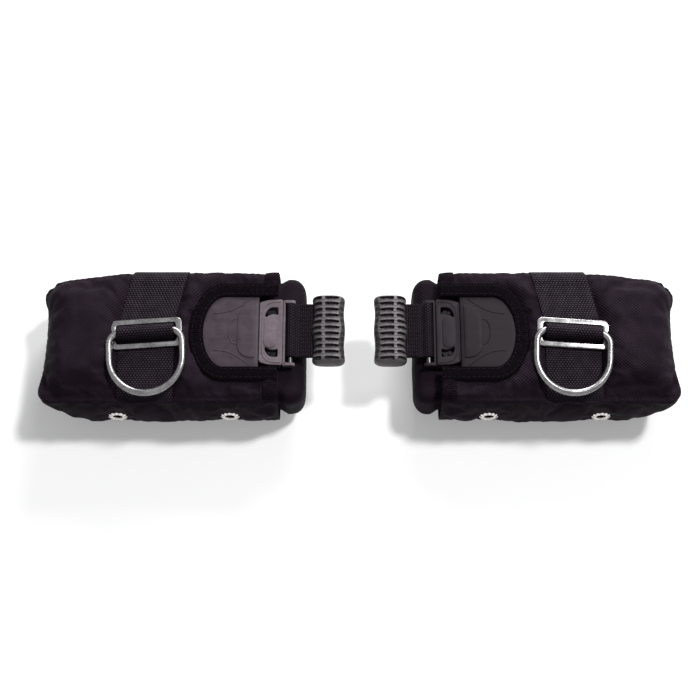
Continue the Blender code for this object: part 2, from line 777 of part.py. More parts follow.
def make_grip():
    stations = []
    for i in range(GRIP_STATIONS):
        share = 2 * i / (GRIP_STATIONS - 1) - 1
        stations.append(GRIP_HALF_Y * math.sin(share * math.pi / 2) * 0.5 + GRIP_HALF_Y * share * 0.5)
    obj = lofted([grip_ring(y) for y in stations])
    centre_x = GRIP_X0 + GRIP_WIDTH / 2
    groove_z = (BAR_Z + GRIP_THICK / 2 - GROOVE_DEPTH, BAR_Z + GRIP_THICK)
    for i in range(GROOVES):
        y = HANDLE_Y + GROOVE_PITCH * (i - (GROOVES - 1) / 2)
        y_range = (y - GROOVE_WIDTH / 2, y + GROOVE_WIDTH / 2)
        reach = GRIP_WIDTH / 2 - GRIP_MARGIN
        for side in (-1, 1):
            x_range = sorted(centre_x + side * offset for offset in (SPINE_WIDTH / 2, reach))
            cut(obj, block(x_range, y_range, groove_z))
    slot = side_prism(pull_webbing_outline(GAP), *across_handle(WEBBING_WIDTH / 2 + GAP))
    return cut(obj, slot)


# Assembly: the empties stand on the joint axes, and each piece hangs from the one it moves with

BAR_POINT = Vector((BAR_X, LATCH_Y, BAR_Z))
RING_POINT = Vector((RING_X, RING_BAR_Y, RING_BAR_Z))
GROUPS = {
    "cartridge": (None, Vector((0.0, 0.0, 0.0))),
    "sleeve_slide": ("cartridge", Vector((SLEEVE_X0, 0.0, SLEEVE_Z0))),
    "slide_adjust": ("sleeve_slide", RING_POINT),
    "ring_hinge": ("slide_adjust", RING_POINT),
    "release_pull": ("cartridge", BAR_POINT),
    "handle_hinge": ("release_pull", BAR_POINT),
    "prong_upper_hinge": ("cartridge", Vector((PRONG_PIVOT_X, LATCH_Y + PRONG_PIVOT_Y, PRONG_Z[0]))),
    "prong_lower_hinge": ("cartridge", Vector((PRONG_PIVOT_X, LATCH_Y - PRONG_PIVOT_Y, PRONG_Z[0]))),
}

PIECES = (
    ("weight_pouch", "cartridge", "pouch_fabric", make_pouch),
    ("pouch_flap", "cartridge", "pouch_fabric", make_pouch_flap),
    ("lead_block_inner", "cartridge", "lead", lambda: make_lead(LEAD_X[0])),
    ("lead_block_outer", "cartridge", "lead", lambda: make_lead(LEAD_X[1])),
    ("latch_body", "cartridge", "black_plastic", make_latch_body),
    ("latch_cover", "cartridge", "latch_plastic", make_latch_cover),
    ("prong_pin_upper", "cartridge", "stainless", lambda: make_prong_pin(1)),
    ("prong_pin_lower", "cartridge", "stainless", lambda: make_prong_pin(-1)),
    ("prong_spring", "cartridge", "stainless", make_prong_spring),
    ("prong_upper", "prong_upper_hinge", "black_plastic", lambda: make_prong(1)),
    ("prong_lower", "prong_lower_hinge", "black_plastic", lambda: make_prong(-1)),
    ("release_slider", "release_pull", "black_plastic", make_slider),
    ("pull_bar", "release_pull", "stainless", make_bar),
    ("pull_webbing", "handle_hinge", "webbing", make_pull_webbing),
    ("grip", "handle_hinge", "grip_rubber", make_grip),
    ("grip_core", "handle_hinge", "black_plastic", make_core),
    ("sleeve", "sleeve_slide", "sleeve_fabric", make_sleeve),
    ("mouth_binding", "sleeve_slide", "binding_tape", make_binding),
    ("receiver_base", "sleeve_slide", "receiver_plastic", make_receiver_base),
    ("receiver_cover", "sleeve_slide", "receiver_plastic", make_receiver_cover),
    ("d_strap", "sleeve_slide", "webbing", make_strap),
    ("eyelet_inner", "sleeve_slide", "eyelet_metal", lambda: make_eyelet(EYELET_X[0])),
    ("eyelet_outer", "sleeve_slide", "eyelet_metal", lambda: make_eyelet(EYELET_X[1])),
    ("eyelet_washer_inner", "sleeve_slide", "eyelet_metal", lambda: make_washer(EYELET_X[0])),
    ("eyelet_washer_outer", "sleeve_slide", "eyelet_metal", lambda: make_washer(EYELET_X[1])),
    ("belt_loop_inner", "sleeve_slide", "webbing", lambda: make_belt_loop(LOOP_X[0])),
    ("belt_loop_outer", "sleeve_slide", "webbing", lambda: make_belt_loop(LOOP_X[1])),
    ("triglide", "slide_adjust", "stainless", make_slide),
    ("d_ring", "ring_hinge", "stainless", make_ring),
)


def make_groups(side, mirror):
    """The pocket's empties, the outermost mirrored in x for the left-hand pocket."""
    empties = {}
    for name, (parent, point) in GROUPS.items():
        empty = bpy.data.objects.new(f"{side}_{name}_axis", None)
        bpy.context.scene.collection.objects.link(empty)
        if parent:
            empty.parent = empties[parent]
            empty.location = point - GROUPS[parent][1]
        else:
            empty.scale.x = mirror
        empties[name] = empty
    return empties


def hang(name, mesh, empty):
    obj = bpy.data.objects.new(name, mesh)
    bpy.context.scene.collection.objects.link(obj)
    obj.parent = empty
    return obj


def main():
    clear_scene()
    pockets = {"right": make_groups("right", 1.0), "left": make_groups("left", -1.0)}
    for name, group, finish, make in PIECES:
        shape = make()
        mesh = shape.data
        mesh.name = name
        mesh.transform(Matrix.Translation(-GROUPS[group][1]))
        mesh.materials.clear()
        mesh.materials.append(material(finish))
        mesh.shade_smooth()
        mesh.set_sharp_from_angle(angle=math.radians(35))
        bpy.data.objects.remove(shape, do_unlink=True)
        for side, empties in pockets.items():
            hang(f"{side}_{name}", mesh, empties[group])
    bpy.context.view_layer.update()


main()
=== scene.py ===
import json
import math
import bmesh
import bpy
from mathutils import Matrix, Vector, noise

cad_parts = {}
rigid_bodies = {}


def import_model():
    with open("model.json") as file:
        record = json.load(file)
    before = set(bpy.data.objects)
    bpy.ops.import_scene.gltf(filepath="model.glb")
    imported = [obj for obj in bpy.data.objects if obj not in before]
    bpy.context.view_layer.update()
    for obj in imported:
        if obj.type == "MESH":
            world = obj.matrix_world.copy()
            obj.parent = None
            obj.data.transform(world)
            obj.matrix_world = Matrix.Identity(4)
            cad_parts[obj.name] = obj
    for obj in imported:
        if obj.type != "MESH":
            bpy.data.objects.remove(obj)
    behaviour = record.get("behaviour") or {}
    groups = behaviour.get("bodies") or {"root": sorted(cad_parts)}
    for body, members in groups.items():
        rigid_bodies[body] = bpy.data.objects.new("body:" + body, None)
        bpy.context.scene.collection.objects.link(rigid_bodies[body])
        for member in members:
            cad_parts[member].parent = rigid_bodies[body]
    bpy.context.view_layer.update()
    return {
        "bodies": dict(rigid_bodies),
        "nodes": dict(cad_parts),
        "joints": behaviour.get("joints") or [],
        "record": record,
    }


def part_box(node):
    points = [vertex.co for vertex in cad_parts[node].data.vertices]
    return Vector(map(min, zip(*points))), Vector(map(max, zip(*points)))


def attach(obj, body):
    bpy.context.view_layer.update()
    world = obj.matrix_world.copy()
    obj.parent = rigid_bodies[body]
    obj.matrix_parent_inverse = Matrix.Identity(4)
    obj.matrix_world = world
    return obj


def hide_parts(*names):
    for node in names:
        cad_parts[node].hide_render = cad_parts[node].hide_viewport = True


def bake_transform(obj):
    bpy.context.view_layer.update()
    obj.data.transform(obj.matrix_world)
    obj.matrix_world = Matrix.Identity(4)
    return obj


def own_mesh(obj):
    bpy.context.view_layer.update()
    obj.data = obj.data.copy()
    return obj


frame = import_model()
print("frame loaded")

pocketSides = {"left": -1, "right": 1}
mirrorX = Matrix.Diagonal((-1, 1, 1, 1))
latchY = 0.0022  # height of the latch's middle line on the front panel
handleY = latchY + 0.0024  # the pull webbing sits a little higher on its bar
sleeveLow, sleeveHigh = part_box("right_sleeve")
pouchLow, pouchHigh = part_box("right_weight_pouch")
frontZ = sleeveHigh.z
mouthX = sleeveLow.x
outerX = sleeveHigh.x
frontBand = frontZ - 0.006  # what lies above this belongs to the front panel
sleeveMidZ = 0.036  # middle of the sleeve's depth
ovalShare = 0.64  # length of the window's oval end, as a share of its half width
taperX = 0.190  # the top edges fall from here out
taperDrop = 0.008


# Small helpers for numbers and shapes

def smooth(low, high, value):
    t = min(1.0, max(0.0, (value - low) / (high - low)))
    return t * t * (3 - 2 * t)


def bump(value, width):
    return math.exp(-(value / width) ** 2)


def grain(x, y, z, seed):
    return noise.noise(Vector((x, y, z)) + Vector((seed * 7.31, seed * 3.17, seed * 5.73)))


def topEdge(x):
    return sleeveHigh.y - taperDrop * smooth(taperX, outerX, x)


def strapLean(y):
    return -max(0.0, y - 0.0125) * math.tan(math.radians(12))


def tongue(x0, x1, half, steps):
    # open line from the upper arm round the oval end to the lower arm
    reach = ovalShare * half
    turnX = x1 - reach
    line = [(x0, latchY + half)]
    straight = 14
    for i in range(1, straight):
        line.append((x0 + (turnX - x0) * i / straight, latchY + half))
    for i in range(steps + 1):
        a = math.pi / 2 - math.pi * i / steps
        line.append((turnX + reach * math.cos(a), latchY + half * math.sin(a)))
    for i in range(1, straight):
        line.append((turnX + (x0 - turnX) * i / straight, latchY - half))
    line.append((x0, latchY - half))
    return line


def insideTongue(x, y, x1, half):
    reach = ovalShare * half
    dy = abs(y - latchY)
    if dy > half:
        return False
    return x < x1 - reach + reach * math.sqrt(1 - (dy / half) ** 2)


def roundedBox(halfX, halfY, radius, steps=6):
    line = []
    for cx, cy, a0 in ((1, 1, 0), (-1, 1, 90), (-1, -1, 180), (1, -1, 270)):
        for i in range(steps + 1):
            a = math.radians(a0 + 90 * i / steps)
            line.append((cx * (halfX - radius) + radius * math.cos(a),
                         cy * (halfY - radius) + radius * math.sin(a)))
    return line


def gridMesh(name, rows, ringClosed=False, runClosed=False, caps=False, uvs=None):
    count = len(rows[0])
    total = len(rows)
    points = [tuple(p) for row in rows for p in row]
    faces = []
    corners = []
    for i in range(total if runClosed else total - 1):
        for j in range(count if ringClosed else count - 1):
            around = ((i, j), (i + 1, j), (i + 1, j + 1), (i, j + 1))
            faces.append([(a % total) * count + b % count for a, b in around])
            corners.append(around)
    if caps:
        faces.append(list(range(count)))
        faces.append([(total - 1) * count + j for j in range(count)])
        corners += [[(0, j) for j in range(count)], [(total - 1, j) for j in range(count)]]
    mesh = bpy.data.meshes.new(name)
    mesh.from_pydata(points, [], faces)
    if uvs:
        layer = mesh.uv_layers.new(name="cloth")
        flat = [uvs(a, b) for around in corners for a, b in around]
        for loop, value in zip(layer.data, flat):
            loop.uv = value
    tidyMesh(mesh)
    return mesh


def tidyMesh(mesh, merge=0.000002):
    work = bmesh.new()
    work.from_mesh(mesh)
    bmesh.ops.remove_doubles(work, verts=work.verts, dist=merge)
    bmesh.ops.recalc_face_normals(work, faces=work.faces)
    work.to_mesh(mesh)
    work.free()


def sweepRows(path, section, closed=False):
    # a section carried along a path and kept upright
    rows = []
    total = len(path)
    for i, point in enumerate(path):
        before = path[i - 1] if (closed or i) else path[i]
        after = path[(i + 1) % total] if (closed or i < total - 1) else path[i]
        along = (Vector(after) - Vector(before)).normalized()
        side = along.cross(Vector((0, 0, 1))).normalized()
        up = side.cross(along)
        rows.append([Vector(point) + side * a + up * b for a, b in section])
    return rows


def lengths(path):
    total = [0.0]
    for a, b in zip(path, path[1:]):
        total.append(total[-1] + (Vector(b) - Vector(a)).length)
    return total


def flatSection(width, thick, steps=14, crown=0.0):
    # webbing cut across, with rounded edges, going round once
    edge = [(-math.sin(a) * thick / 2, math.cos(a) * thick / 2) for a in (0.5, 1.1, 1.57, 2.04, 2.64)]
    flat = width / 2 - thick / 2
    top = [(flat - 2 * flat * i / steps, thick / 2 + crown * (1 - (1 - 2 * i / steps) ** 2))
           for i in range(steps + 1)]
    left = [(-flat + a, b) for a, b in edge]
    bottom = [(-flat + 2 * flat * i / steps, -thick / 2) for i in range(steps + 1)]
    right = [(flat - a, b) for a, b in reversed(edge)]
    return top + left + bottom + right


def roundSection(radius, steps):
    turns = [2 * math.pi * i / steps for i in range(steps)]
    return [(radius * math.cos(a), radius * math.sin(a)) for a in turns]


def aroundSection(section):
    return lengths([(a, b, 0) for a, b in section] + [(*section[0], 0)])


def bandMesh(name, path, section):
    rows = sweepRows(path, section)
    run = lengths([row[0] for row in rows])
    around = aroundSection(section)
    return gridMesh(name, rows, True, False, True, lambda i, j: (around[j], run[i]))


def plateMesh(name, outlines, low, high, edge, steps=3):
    flat = bpy.data.curves.new(name + "_line", "CURVE")
    flat.dimensions = "2D"
    flat.fill_mode = "BOTH"
    flat.extrude = (high - low) / 2 - edge
    flat.bevel_depth = edge
    flat.bevel_resolution = steps
    flat.offset = -edge
    for outline in outlines:
        spline = flat.splines.new("POLY")
        spline.points.add(len(outline) - 1)
        for point, (x, y) in zip(spline.points, outline):
            point.co = (x, y, 0, 1)
        spline.use_cyclic_u = True
    maker = bpy.data.objects.new(name + "_line", flat)
    bpy.context.scene.collection.objects.link(maker)
    graph = bpy.context.evaluated_depsgraph_get()
    mesh = bpy.data.meshes.new_from_object(maker.evaluated_get(graph))
    bpy.data.objects.remove(maker)
    mesh.transform(Matrix.Translation((0, 0, (low + high) / 2)))
    tidyMesh(mesh, 0.00001)
    return mesh


def joinMeshes(name, meshes):
    work = bmesh.new()
    for mesh in meshes:
        work.from_mesh(mesh)
    whole = bpy.data.meshes.new(name)
    work.to_mesh(whole)
    work.free()
    return whole


def addPiece(name, mesh, side, body, material, nodes=(), sharp=40, ride=True):
    if side < 0:
        mesh.transform(mirrorX)
        mesh.flip_normals()
    mesh.name = name
    mesh.materials.clear()
    mesh.materials.append(material)
    mesh.shade_smooth()
    mesh.set_sharp_from_angle(angle=math.radians(sharp))
    piece = bpy.data.objects.new(name, mesh)
    bpy.context.scene.collection.objects.link(piece)
    if ride:
        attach(piece, body)
    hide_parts(*nodes)
    return piece


# Shader maths and materials

class Wire:
    def __init__(self, tree, socket):
        self.tree = tree
        self.socket = socket

    def math(self, operation, *values):
        node = self.tree.nodes.new("ShaderNodeMath")
        node.operation = operation
        for place, value in zip(node.inputs, values):
            if isinstance(value, Wire):
                self.tree.links.new(value.socket, place)
            else:
                place.default_value = value
        return Wire(self.tree, node.outputs[0])

    def __add__(self, other):
        return self.math("ADD", self, other)

    def __radd__(self, other):
        return self.math("ADD", other, self)

    def __sub__(self, other):
        return self.math("SUBTRACT", self, other)

    def __rsub__(self, other):
        return self.math("SUBTRACT", other, self)

    def __mul__(self, other):
        return self.math("MULTIPLY", self, other)

    def __rmul__(self, other):
        return self.math("MULTIPLY", other, self)

    def __truediv__(self, other):
        return self.math("DIVIDE", self, other)

    def __rtruediv__(self, other):
        return self.math("DIVIDE", other, self)


class Finish:
    def __init__(self, name, **constants):
        self.material = bpy.data.materials.new(name)
        self.material.use_nodes = True
        self.tree = self.material.node_tree
        self.shader = self.tree.nodes["Principled BSDF"]
        for key, value in constants.items():
            self.shader.inputs[key.replace("_", " ")].default_value = value

    def node(self, kind, settings=None, inputs=None, out=0):
        node = self.tree.nodes.new(kind)
        for key, value in (settings or {}).items():
            if key == "stops":
                ramp = node.color_ramp.elements
                while len(ramp) < len(value):
                    ramp.new(0.5)
                for stop, (place, colour) in zip(ramp, value):
                    stop.position = place
                    stop.color = (*colour, 1)
            else:
                setattr(node, key, value)
        for key, value in (inputs or {}).items():
            if isinstance(value, Wire):
                self.tree.links.new(value.socket, node.inputs[key])
            else:
                node.inputs[key].default_value = value
        return Wire(self.tree, node.outputs[out])

    def into(self, name, wire):
        self.tree.links.new(wire.socket, self.shader.inputs[name])

    def object(self):
        return self.node("ShaderNodeTexCoord", out="Object")

    def cloth(self):
        pair = self.node("ShaderNodeUVMap", {"uv_map": "cloth"}, out="UV")
        return [self.node("ShaderNodeSeparateXYZ", inputs={0: pair}, out=k) for k in (0, 1)]

    def cloud(self, scale, detail=3.0, rough=0.55, stretch=None):
        place = self.object()
        if stretch:
            place = self.node("ShaderNodeMapping", inputs={"Vector": place, "Scale": stretch})
        return self.node("ShaderNodeTexNoise", inputs={
            "Vector": place, "Scale": scale, "Detail": detail, "Roughness": rough}, out="Fac")

    def ramp(self, value, *stops):
        return self.node("ShaderNodeValToRGB", {"stops": stops}, {"Fac": value}, "Color")

    def span(self, value, low, high, newLow=0.0, newHigh=1.0):
        return self.node("ShaderNodeMapRange", {"clamp": True}, {
            "Value": value, "From Min": low, "From Max": high, "To Min": newLow, "To Max": newHigh})

    def blendColour(self, factor, first, second):
        node = self.tree.nodes.new("ShaderNodeMix")
        node.data_type = "RGBA"
        self.tree.links.new(factor.socket, node.inputs["Factor"])
        for place, value in (("A", first), ("B", second)):
            spot = [s for s in node.inputs if s.name == place and s.type == "RGBA"][0]
            if isinstance(value, Wire):
                self.tree.links.new(value.socket, spot)
            else:
                spot.default_value = (*value, 1)
        return Wire(self.tree, [s for s in node.outputs if s.type == "RGBA"][0])

    def raised(self, height, strength, distance):
        return self.node("ShaderNodeBump", inputs={
            "Height": height, "Strength": strength, "Distance": distance}, out="Normal")


clothFinish = {"pitch": 0.0013, "twill": 0.0028,
               "dark": (0.0010, 0.0003, 0.0010), "light": (0.0222, 0.0124, 0.0222)}


def wovenCloth(name, sizes):
    made = Finish(name, Specular_IOR_Level=0.05)
    across, along = made.cloth()
    turn = 2 * math.pi
    warp = across.math("SINE", across * (turn / sizes["pitch"]))
    weft = along.math("SINE", along * (turn / sizes["pitch"]))
    twill = across.math("SINE", (across + along) * (turn / sizes["twill"]))
    weave = warp * weft * 0.5 + twill * 0.5
    patch = made.cloud(70, 4)
    fleck = made.cloud(900, 2)
    tone = made.span(weave + (patch - 0.5) * 1.3 + (fleck - 0.5) * 1.1, -0.9, 1.25)
    made.into("Base Color", made.blendColour(tone, sizes["dark"], sizes["light"]))
    made.into("Roughness", made.span(weave + patch, -0.6, 1.4, 0.78, 0.52))
    made.into("Normal", made.raised(weave + fleck * 0.8, 0.55, 0.00035))
    return made.material


webFinish = {"across": 0.0026, "along": 0.0019,
             "dark": (0.0010, 0.0004, 0.0010), "light": (0.046, 0.031, 0.046)}


def webbing(name, sizes):
    made = Finish(name, Specular_IOR_Level=0.07)
    across, along = made.cloth()
    row = along / sizes["along"]
    step = row.math("FLOOR", row)
    place = across / sizes["across"] + step * 0.5
    yarn = place.math("ABSOLUTE", place.math("SINE", place * math.pi))
    pick = row.math("ABSOLUTE", row.math("SINE", row * math.pi))
    weave = yarn * pick
    wear = made.cloud(120, 3)
    fleck = made.cloud(1400, 2)
    tone = made.span(weave * 1.1 + (wear - 0.5) * 0.8 + (fleck - 0.5) * 0.7, 0.22, 1.25)
    made.into("Base Color", made.blendColour(tone, sizes["dark"], sizes["light"]))
    made.into("Roughness", made.span(weave + wear * 0.5, 0, 1.3, 0.8, 0.5))
    made.into("Normal", made.raised(weave + fleck * 0.15, 0.8, 0.0005))
    return made.material


tapeFinish = {"rib": 0.0016, "dark": (0.0012, 0.0003, 0.0012), "light": (0.012, 0.006, 0.0115)}


def bindingTape(name, sizes):
    made = Finish(name, Specular_IOR_Level=0.04)
    along = made.cloth()[1]
    rib = along.math("SINE", along * (2 * math.pi / sizes["rib"]))
    fuzz = made.cloud(1100, 4, 0.7)
    lint = made.cloud(260, 4, 0.65)
    tone = made.span(rib * 0.14 + (fuzz - 0.5) * 1.6 + (lint - 0.5) * 1.5, 0.02, 0.85)
    made.into("Base Color", made.blendColour(tone, sizes["dark"], sizes["light"]))
    made.into("Roughness", made.span(fuzz, 0.2, 0.8, 0.95, 0.72))
    made.into("Normal", made.raised(rib * 0.5 + fuzz * 1.4, 0.7, 0.0005))
    return made.material


def mouldedPlastic(name, dark, light, roughness, spark=2600):
    made = Finish(name, Specular_IOR_Level=0.10)
    streak = 0.35  # how much the long scuffs show
    texture = made.cloud(spark, 3, 0.6)
    haze = made.cloud(95, 4, 0.6)
    scuff = made.cloud(40, 5, 0.7, (1.0, 6.0, 1.0))
    tone = made.span(haze * (1 - streak) + scuff * streak + (texture - 0.5) * 0.30, 0.28, 0.76)
    made.into("Base Color", made.blendColour(tone, dark, light))
    made.into("Roughness", made.span(haze + texture * 0.6, 0.4, 1.1, roughness - 0.09, roughness + 0.13))
    made.into("Normal", made.raised(texture + haze * 0.2, 0.35, 0.00016))
    return made.material


def polishedSteel(name, dark, light, roughness):
    made = Finish(name, Metallic=1.0)
    brush = made.cloud(260, 4, 0.6, (1.0, 5.0, 1.0))
    stain = made.cloud(90, 4, 0.6)
    made.into("Base Color", made.blendColour(made.span(brush * 0.5 + stain * 0.5, 0.3, 0.7), dark, light))
    made.into("Roughness", made.span(brush * 0.5 + stain * 0.6, 0.35, 0.75, roughness, roughness + 0.2))
    made.into("Normal", made.raised(brush, 0.06, 0.0002))
    return made.material


def gripRubber(name, dark, light, slotShadeTone):
    made = Finish(name, Specular_IOR_Level=0.45)
    texture = made.cloud(2400, 3, 0.6)
    haze = made.cloud(130, 4, 0.6)
    tone = made.span(haze + (texture - 0.5) * 0.5, 0.28, 0.75)
    # painted shade: the slot hollows and a strip on the mid-plane side are darkened towards the last colour
    # through a point attribute
    hollow = made.node("ShaderNodeAttribute", {"attribute_name": "hollow"}, out="Fac")
    made.into("Base Color", made.blendColour(hollow, made.blendColour(tone, dark, light), slotShadeTone))
    made.into("Roughness", made.span(haze + texture * 0.5, 0.4, 1.0, 0.36, 0.60))
    made.into("Normal", made.raised(texture, 0.35, 0.0002))
    return made.material


def castLead(name):
    made = Finish(name, Metallic=0.7, Specular_IOR_Level=0.4)
    skin = made.cloud(220, 5, 0.65)
    made.into("Base Color", made.ramp(skin, (0.3, (0.07, 0.072, 0.078)), (0.7, (0.20, 0.205, 0.215))))
    made.into("Roughness", made.span(skin, 0.3, 0.7, 0.5, 0.75))
    made.into("Normal", made.raised(skin, 0.4, 0.0006))
    return made.material


sleeveCloth = wovenCloth("black_coated_weave", clothFinish)
pouchCloth = wovenCloth("black_pouch_weave", {
    **clothFinish, "dark": (0.0016, 0.0005, 0.0016), "light": (0.0150, 0.0078, 0.0150)})
strapWeb = webbing("black_strap_webbing", webFinish)
handleWeb = webbing("black_handle_webbing", {**webFinish, "light": (0.0185, 0.0100, 0.0185)})
mouthTape = bindingTape("fuzzy_binding_tape", tapeFinish)
tabCloth = bindingTape("fuzzy_mouth_tab", {
    **tapeFinish, "dark": (0.004, 0.0018, 0.004), "light": (0.027, 0.0175, 0.027)})
threadFinish = mouldedPlastic("black_thread", (0.003, 0.001, 0.003), (0.016, 0.009, 0.016), 0.7, 4000)
receiverGrey = mouldedPlastic("dark_grey_mould", (0.0281, 0.0207, 0.0266), (0.0651, 0.0503, 0.0614), 0.44)
# painted shade: the right-hand receiver plates take this darker copy of the same mould, so that side reads as
# lying in shade
receiverGreyPaintedShade = mouldedPlastic(
    "receiver_mould_painted_shade", (0.0055, 0.0036, 0.0055), (0.015, 0.0109, 0.0148), 0.50)
latchGrey = mouldedPlastic("mid_grey_mould", (0.0689, 0.0536, 0.0635), (0.1607, 0.1316, 0.1469), 0.42)
# painted shade: the right-hand latch plate and release slider take this darker copy of the same mould
latchGreyPaintedShade = mouldedPlastic("latch_mould_painted_shade", (0.0083, 0.0057, 0.008), (0.0229, 0.0168, 0.0218), 0.48)
blackMould = mouldedPlastic("black_mould", (0.006, 0.005, 0.006), (0.018, 0.015, 0.018), 0.40)
stainless = polishedSteel("polished_stainless", (0.10, 0.095, 0.10), (0.36, 0.35, 0.355), 0.19)
# dark steel of the pull bar; the eyelet washers take it too, as painted shade inside the cloth wall
barSteelAndWasherShade = polishedSteel("dark_bar_steel_and_washer_shade", (0.03, 0.028, 0.03), (0.11, 0.105, 0.108), 0.30)
nickel = polishedSteel("dull_nickel", (0.62, 0.60, 0.58), (0.86, 0.84, 0.82), 0.22)
# the last colour is painted shade for the slots and the mid-plane strip
gripGrey = gripRubber(
    "ribbed_grip_rubber", (0.0455, 0.0385, 0.0435), (0.0870, 0.0755, 0.0825), (0.003, 0.0018, 0.003))
leadSkin = castLead("cast_lead_skin")
print("materials made")


# The closing nodes of a tree that sets a shape along a curve

def placeAlong(tree, axis, points, shape, finish):
    nodes = tree.nodes
    links = tree.links
    tangent = nodes.new("GeometryNodeInputTangent")
    turned = nodes.new("FunctionNodeAlignRotationToVector")
    turned.axis = axis
    links.new(tangent.outputs[0], turned.inputs["Vector"])
    placed = nodes.new("GeometryNodeInstanceOnPoints")
    links.new(points, placed.inputs["Points"])
    links.new(shape, placed.inputs["Instance"])
    links.new(turned.outputs[0], placed.inputs["Rotation"])
    real = nodes.new("GeometryNodeRealizeInstances")
    links.new(placed.outputs["Instances"], real.inputs["Geometry"])
    painted = nodes.new("GeometryNodeSetMaterial")
    links.new(real.outputs["Geometry"], painted.inputs["Geometry"])
    links.new(finish, painted.inputs["Material"])
    result = nodes.new("NodeGroupOutput")
    links.new(painted.outputs["Geometry"], result.inputs["Geometry"])


# One tree for every row of stitches

def stitchTree():
    tree = bpy.data.node_groups.new("stitchRows", "GeometryNodeTree")
    face = tree.interface
    face.new_socket("Geometry", in_out="INPUT", socket_type="NodeSocketGeometry")
    for label, value in (("Stitch length", 0.0026), ("Gap", 0.0010), ("Thread radius", 0.0003)):
        face.new_socket(label, in_out="INPUT", socket_type="NodeSocketFloat").default_value = value
    face.new_socket("Thread", in_out="INPUT", socket_type="NodeSocketMaterial")
    face.new_socket("Geometry", in_out="OUTPUT", socket_type="NodeSocketGeometry")
    nodes = tree.nodes
    links = tree.links
    given = nodes.new("NodeGroupInput")
    pitch = nodes.new("ShaderNodeMath")
    pitch.operation = "ADD"
    links.new(given.outputs["Stitch length"], pitch.inputs[0])
    links.new(given.outputs["Gap"], pitch.inputs[1])
    spaced = nodes.new("GeometryNodeResampleCurve")
    spaced.mode = "LENGTH"
    links.new(given.outputs["Geometry"], spaced.inputs["Curve"])
    links.new(pitch.outputs[0], spaced.inputs["Length"])
    bead = nodes.new("GeometryNodeMeshUVSphere")
    bead.inputs["Segments"].default_value = 6
    bead.inputs["Rings"].default_value = 5
    bead.inputs["Radius"].default_value = 1.0
    halfLength = nodes.new("ShaderNodeMath")
    halfLength.operation = "MULTIPLY"
    halfLength.inputs[1].default_value = 0.5
    links.new(given.outputs["Stitch length"], halfLength.inputs[0])
    size = nodes.new("ShaderNodeCombineXYZ")
    links.new(given.outputs["Thread radius"], size.inputs["X"])
    links.new(given.outputs["Thread radius"], size.inputs["Y"])
    links.new(halfLength.outputs[0], size.inputs["Z"])
    shaped = nodes.new("GeometryNodeTransform")
    links.new(bead.outputs["Mesh"], shaped.inputs["Geometry"])
    links.new(size.outputs[0], shaped.inputs["Scale"])
    placeAlong(tree, "Z", spaced.outputs["Curve"], shaped.outputs["Geometry"], given.outputs["Thread"])
    return tree


stitchRows = stitchTree()


def runTree(name, data, tree, values):
    maker = bpy.data.objects.new(name + "_rows", data)
    bpy.context.scene.collection.objects.link(maker)
    modifier = maker.modifiers.new("rows", "NODES")
    modifier.node_group = tree
    for item in tree.interface.items_tree:
        if item.in_out == "INPUT" and item.name in values:
            modifier[item.identifier] = values[item.name]
    graph = bpy.context.evaluated_depsgraph_get()
    mesh = bpy.data.meshes.new_from_object(maker.evaluated_get(graph))
    maker.modifiers.remove(modifier)
    bpy.data.objects.remove(maker)
    return mesh


def stitches(name, lines, side, body, sizes):
    thread = bpy.data.curves.new(name, "CURVE")
    thread.dimensions = "3D"
    for line in lines:
        spline = thread.splines.new("POLY")
        spline.points.add(len(line) - 1)
        for point, place in zip(spline.points, line):
            point.co = (*place, 1)
    mesh = runTree(name, thread, stitchRows, {**sizes, "Thread": threadFinish})
    addPiece(name, mesh, side, body, threadFinish)


# The eyelet's petals, clenched round its bore

def petalTree():
    tree = bpy.data.node_groups.new("eyeletPetals", "GeometryNodeTree")
    face = tree.interface
    face.new_socket("Geometry", in_out="INPUT", socket_type="NodeSocketGeometry")
    face.new_socket("Petals", in_out="INPUT", socket_type="NodeSocketInt").default_value = 10
    face.new_socket("Ring radius", in_out="INPUT", socket_type="NodeSocketFloat").default_value = 0.005
    face.new_socket("Metal", in_out="INPUT", socket_type="NodeSocketMaterial")
    face.new_socket("Geometry", in_out="OUTPUT", socket_type="NodeSocketGeometry")
    nodes = tree.nodes
    links = tree.links
    given = nodes.new("NodeGroupInput")
    ring = nodes.new("GeometryNodeCurvePrimitiveCircle")
    links.new(given.outputs["Petals"], ring.inputs["Resolution"])
    links.new(given.outputs["Ring radius"], ring.inputs["Radius"])
    placeAlong(tree, "Y", ring.outputs["Curve"], given.outputs["Geometry"], given.outputs["Metal"])
    return tree


eyeletPetals = petalTree()


# Sleeve: a sewn box of coated cloth, swollen by a cloth simulation

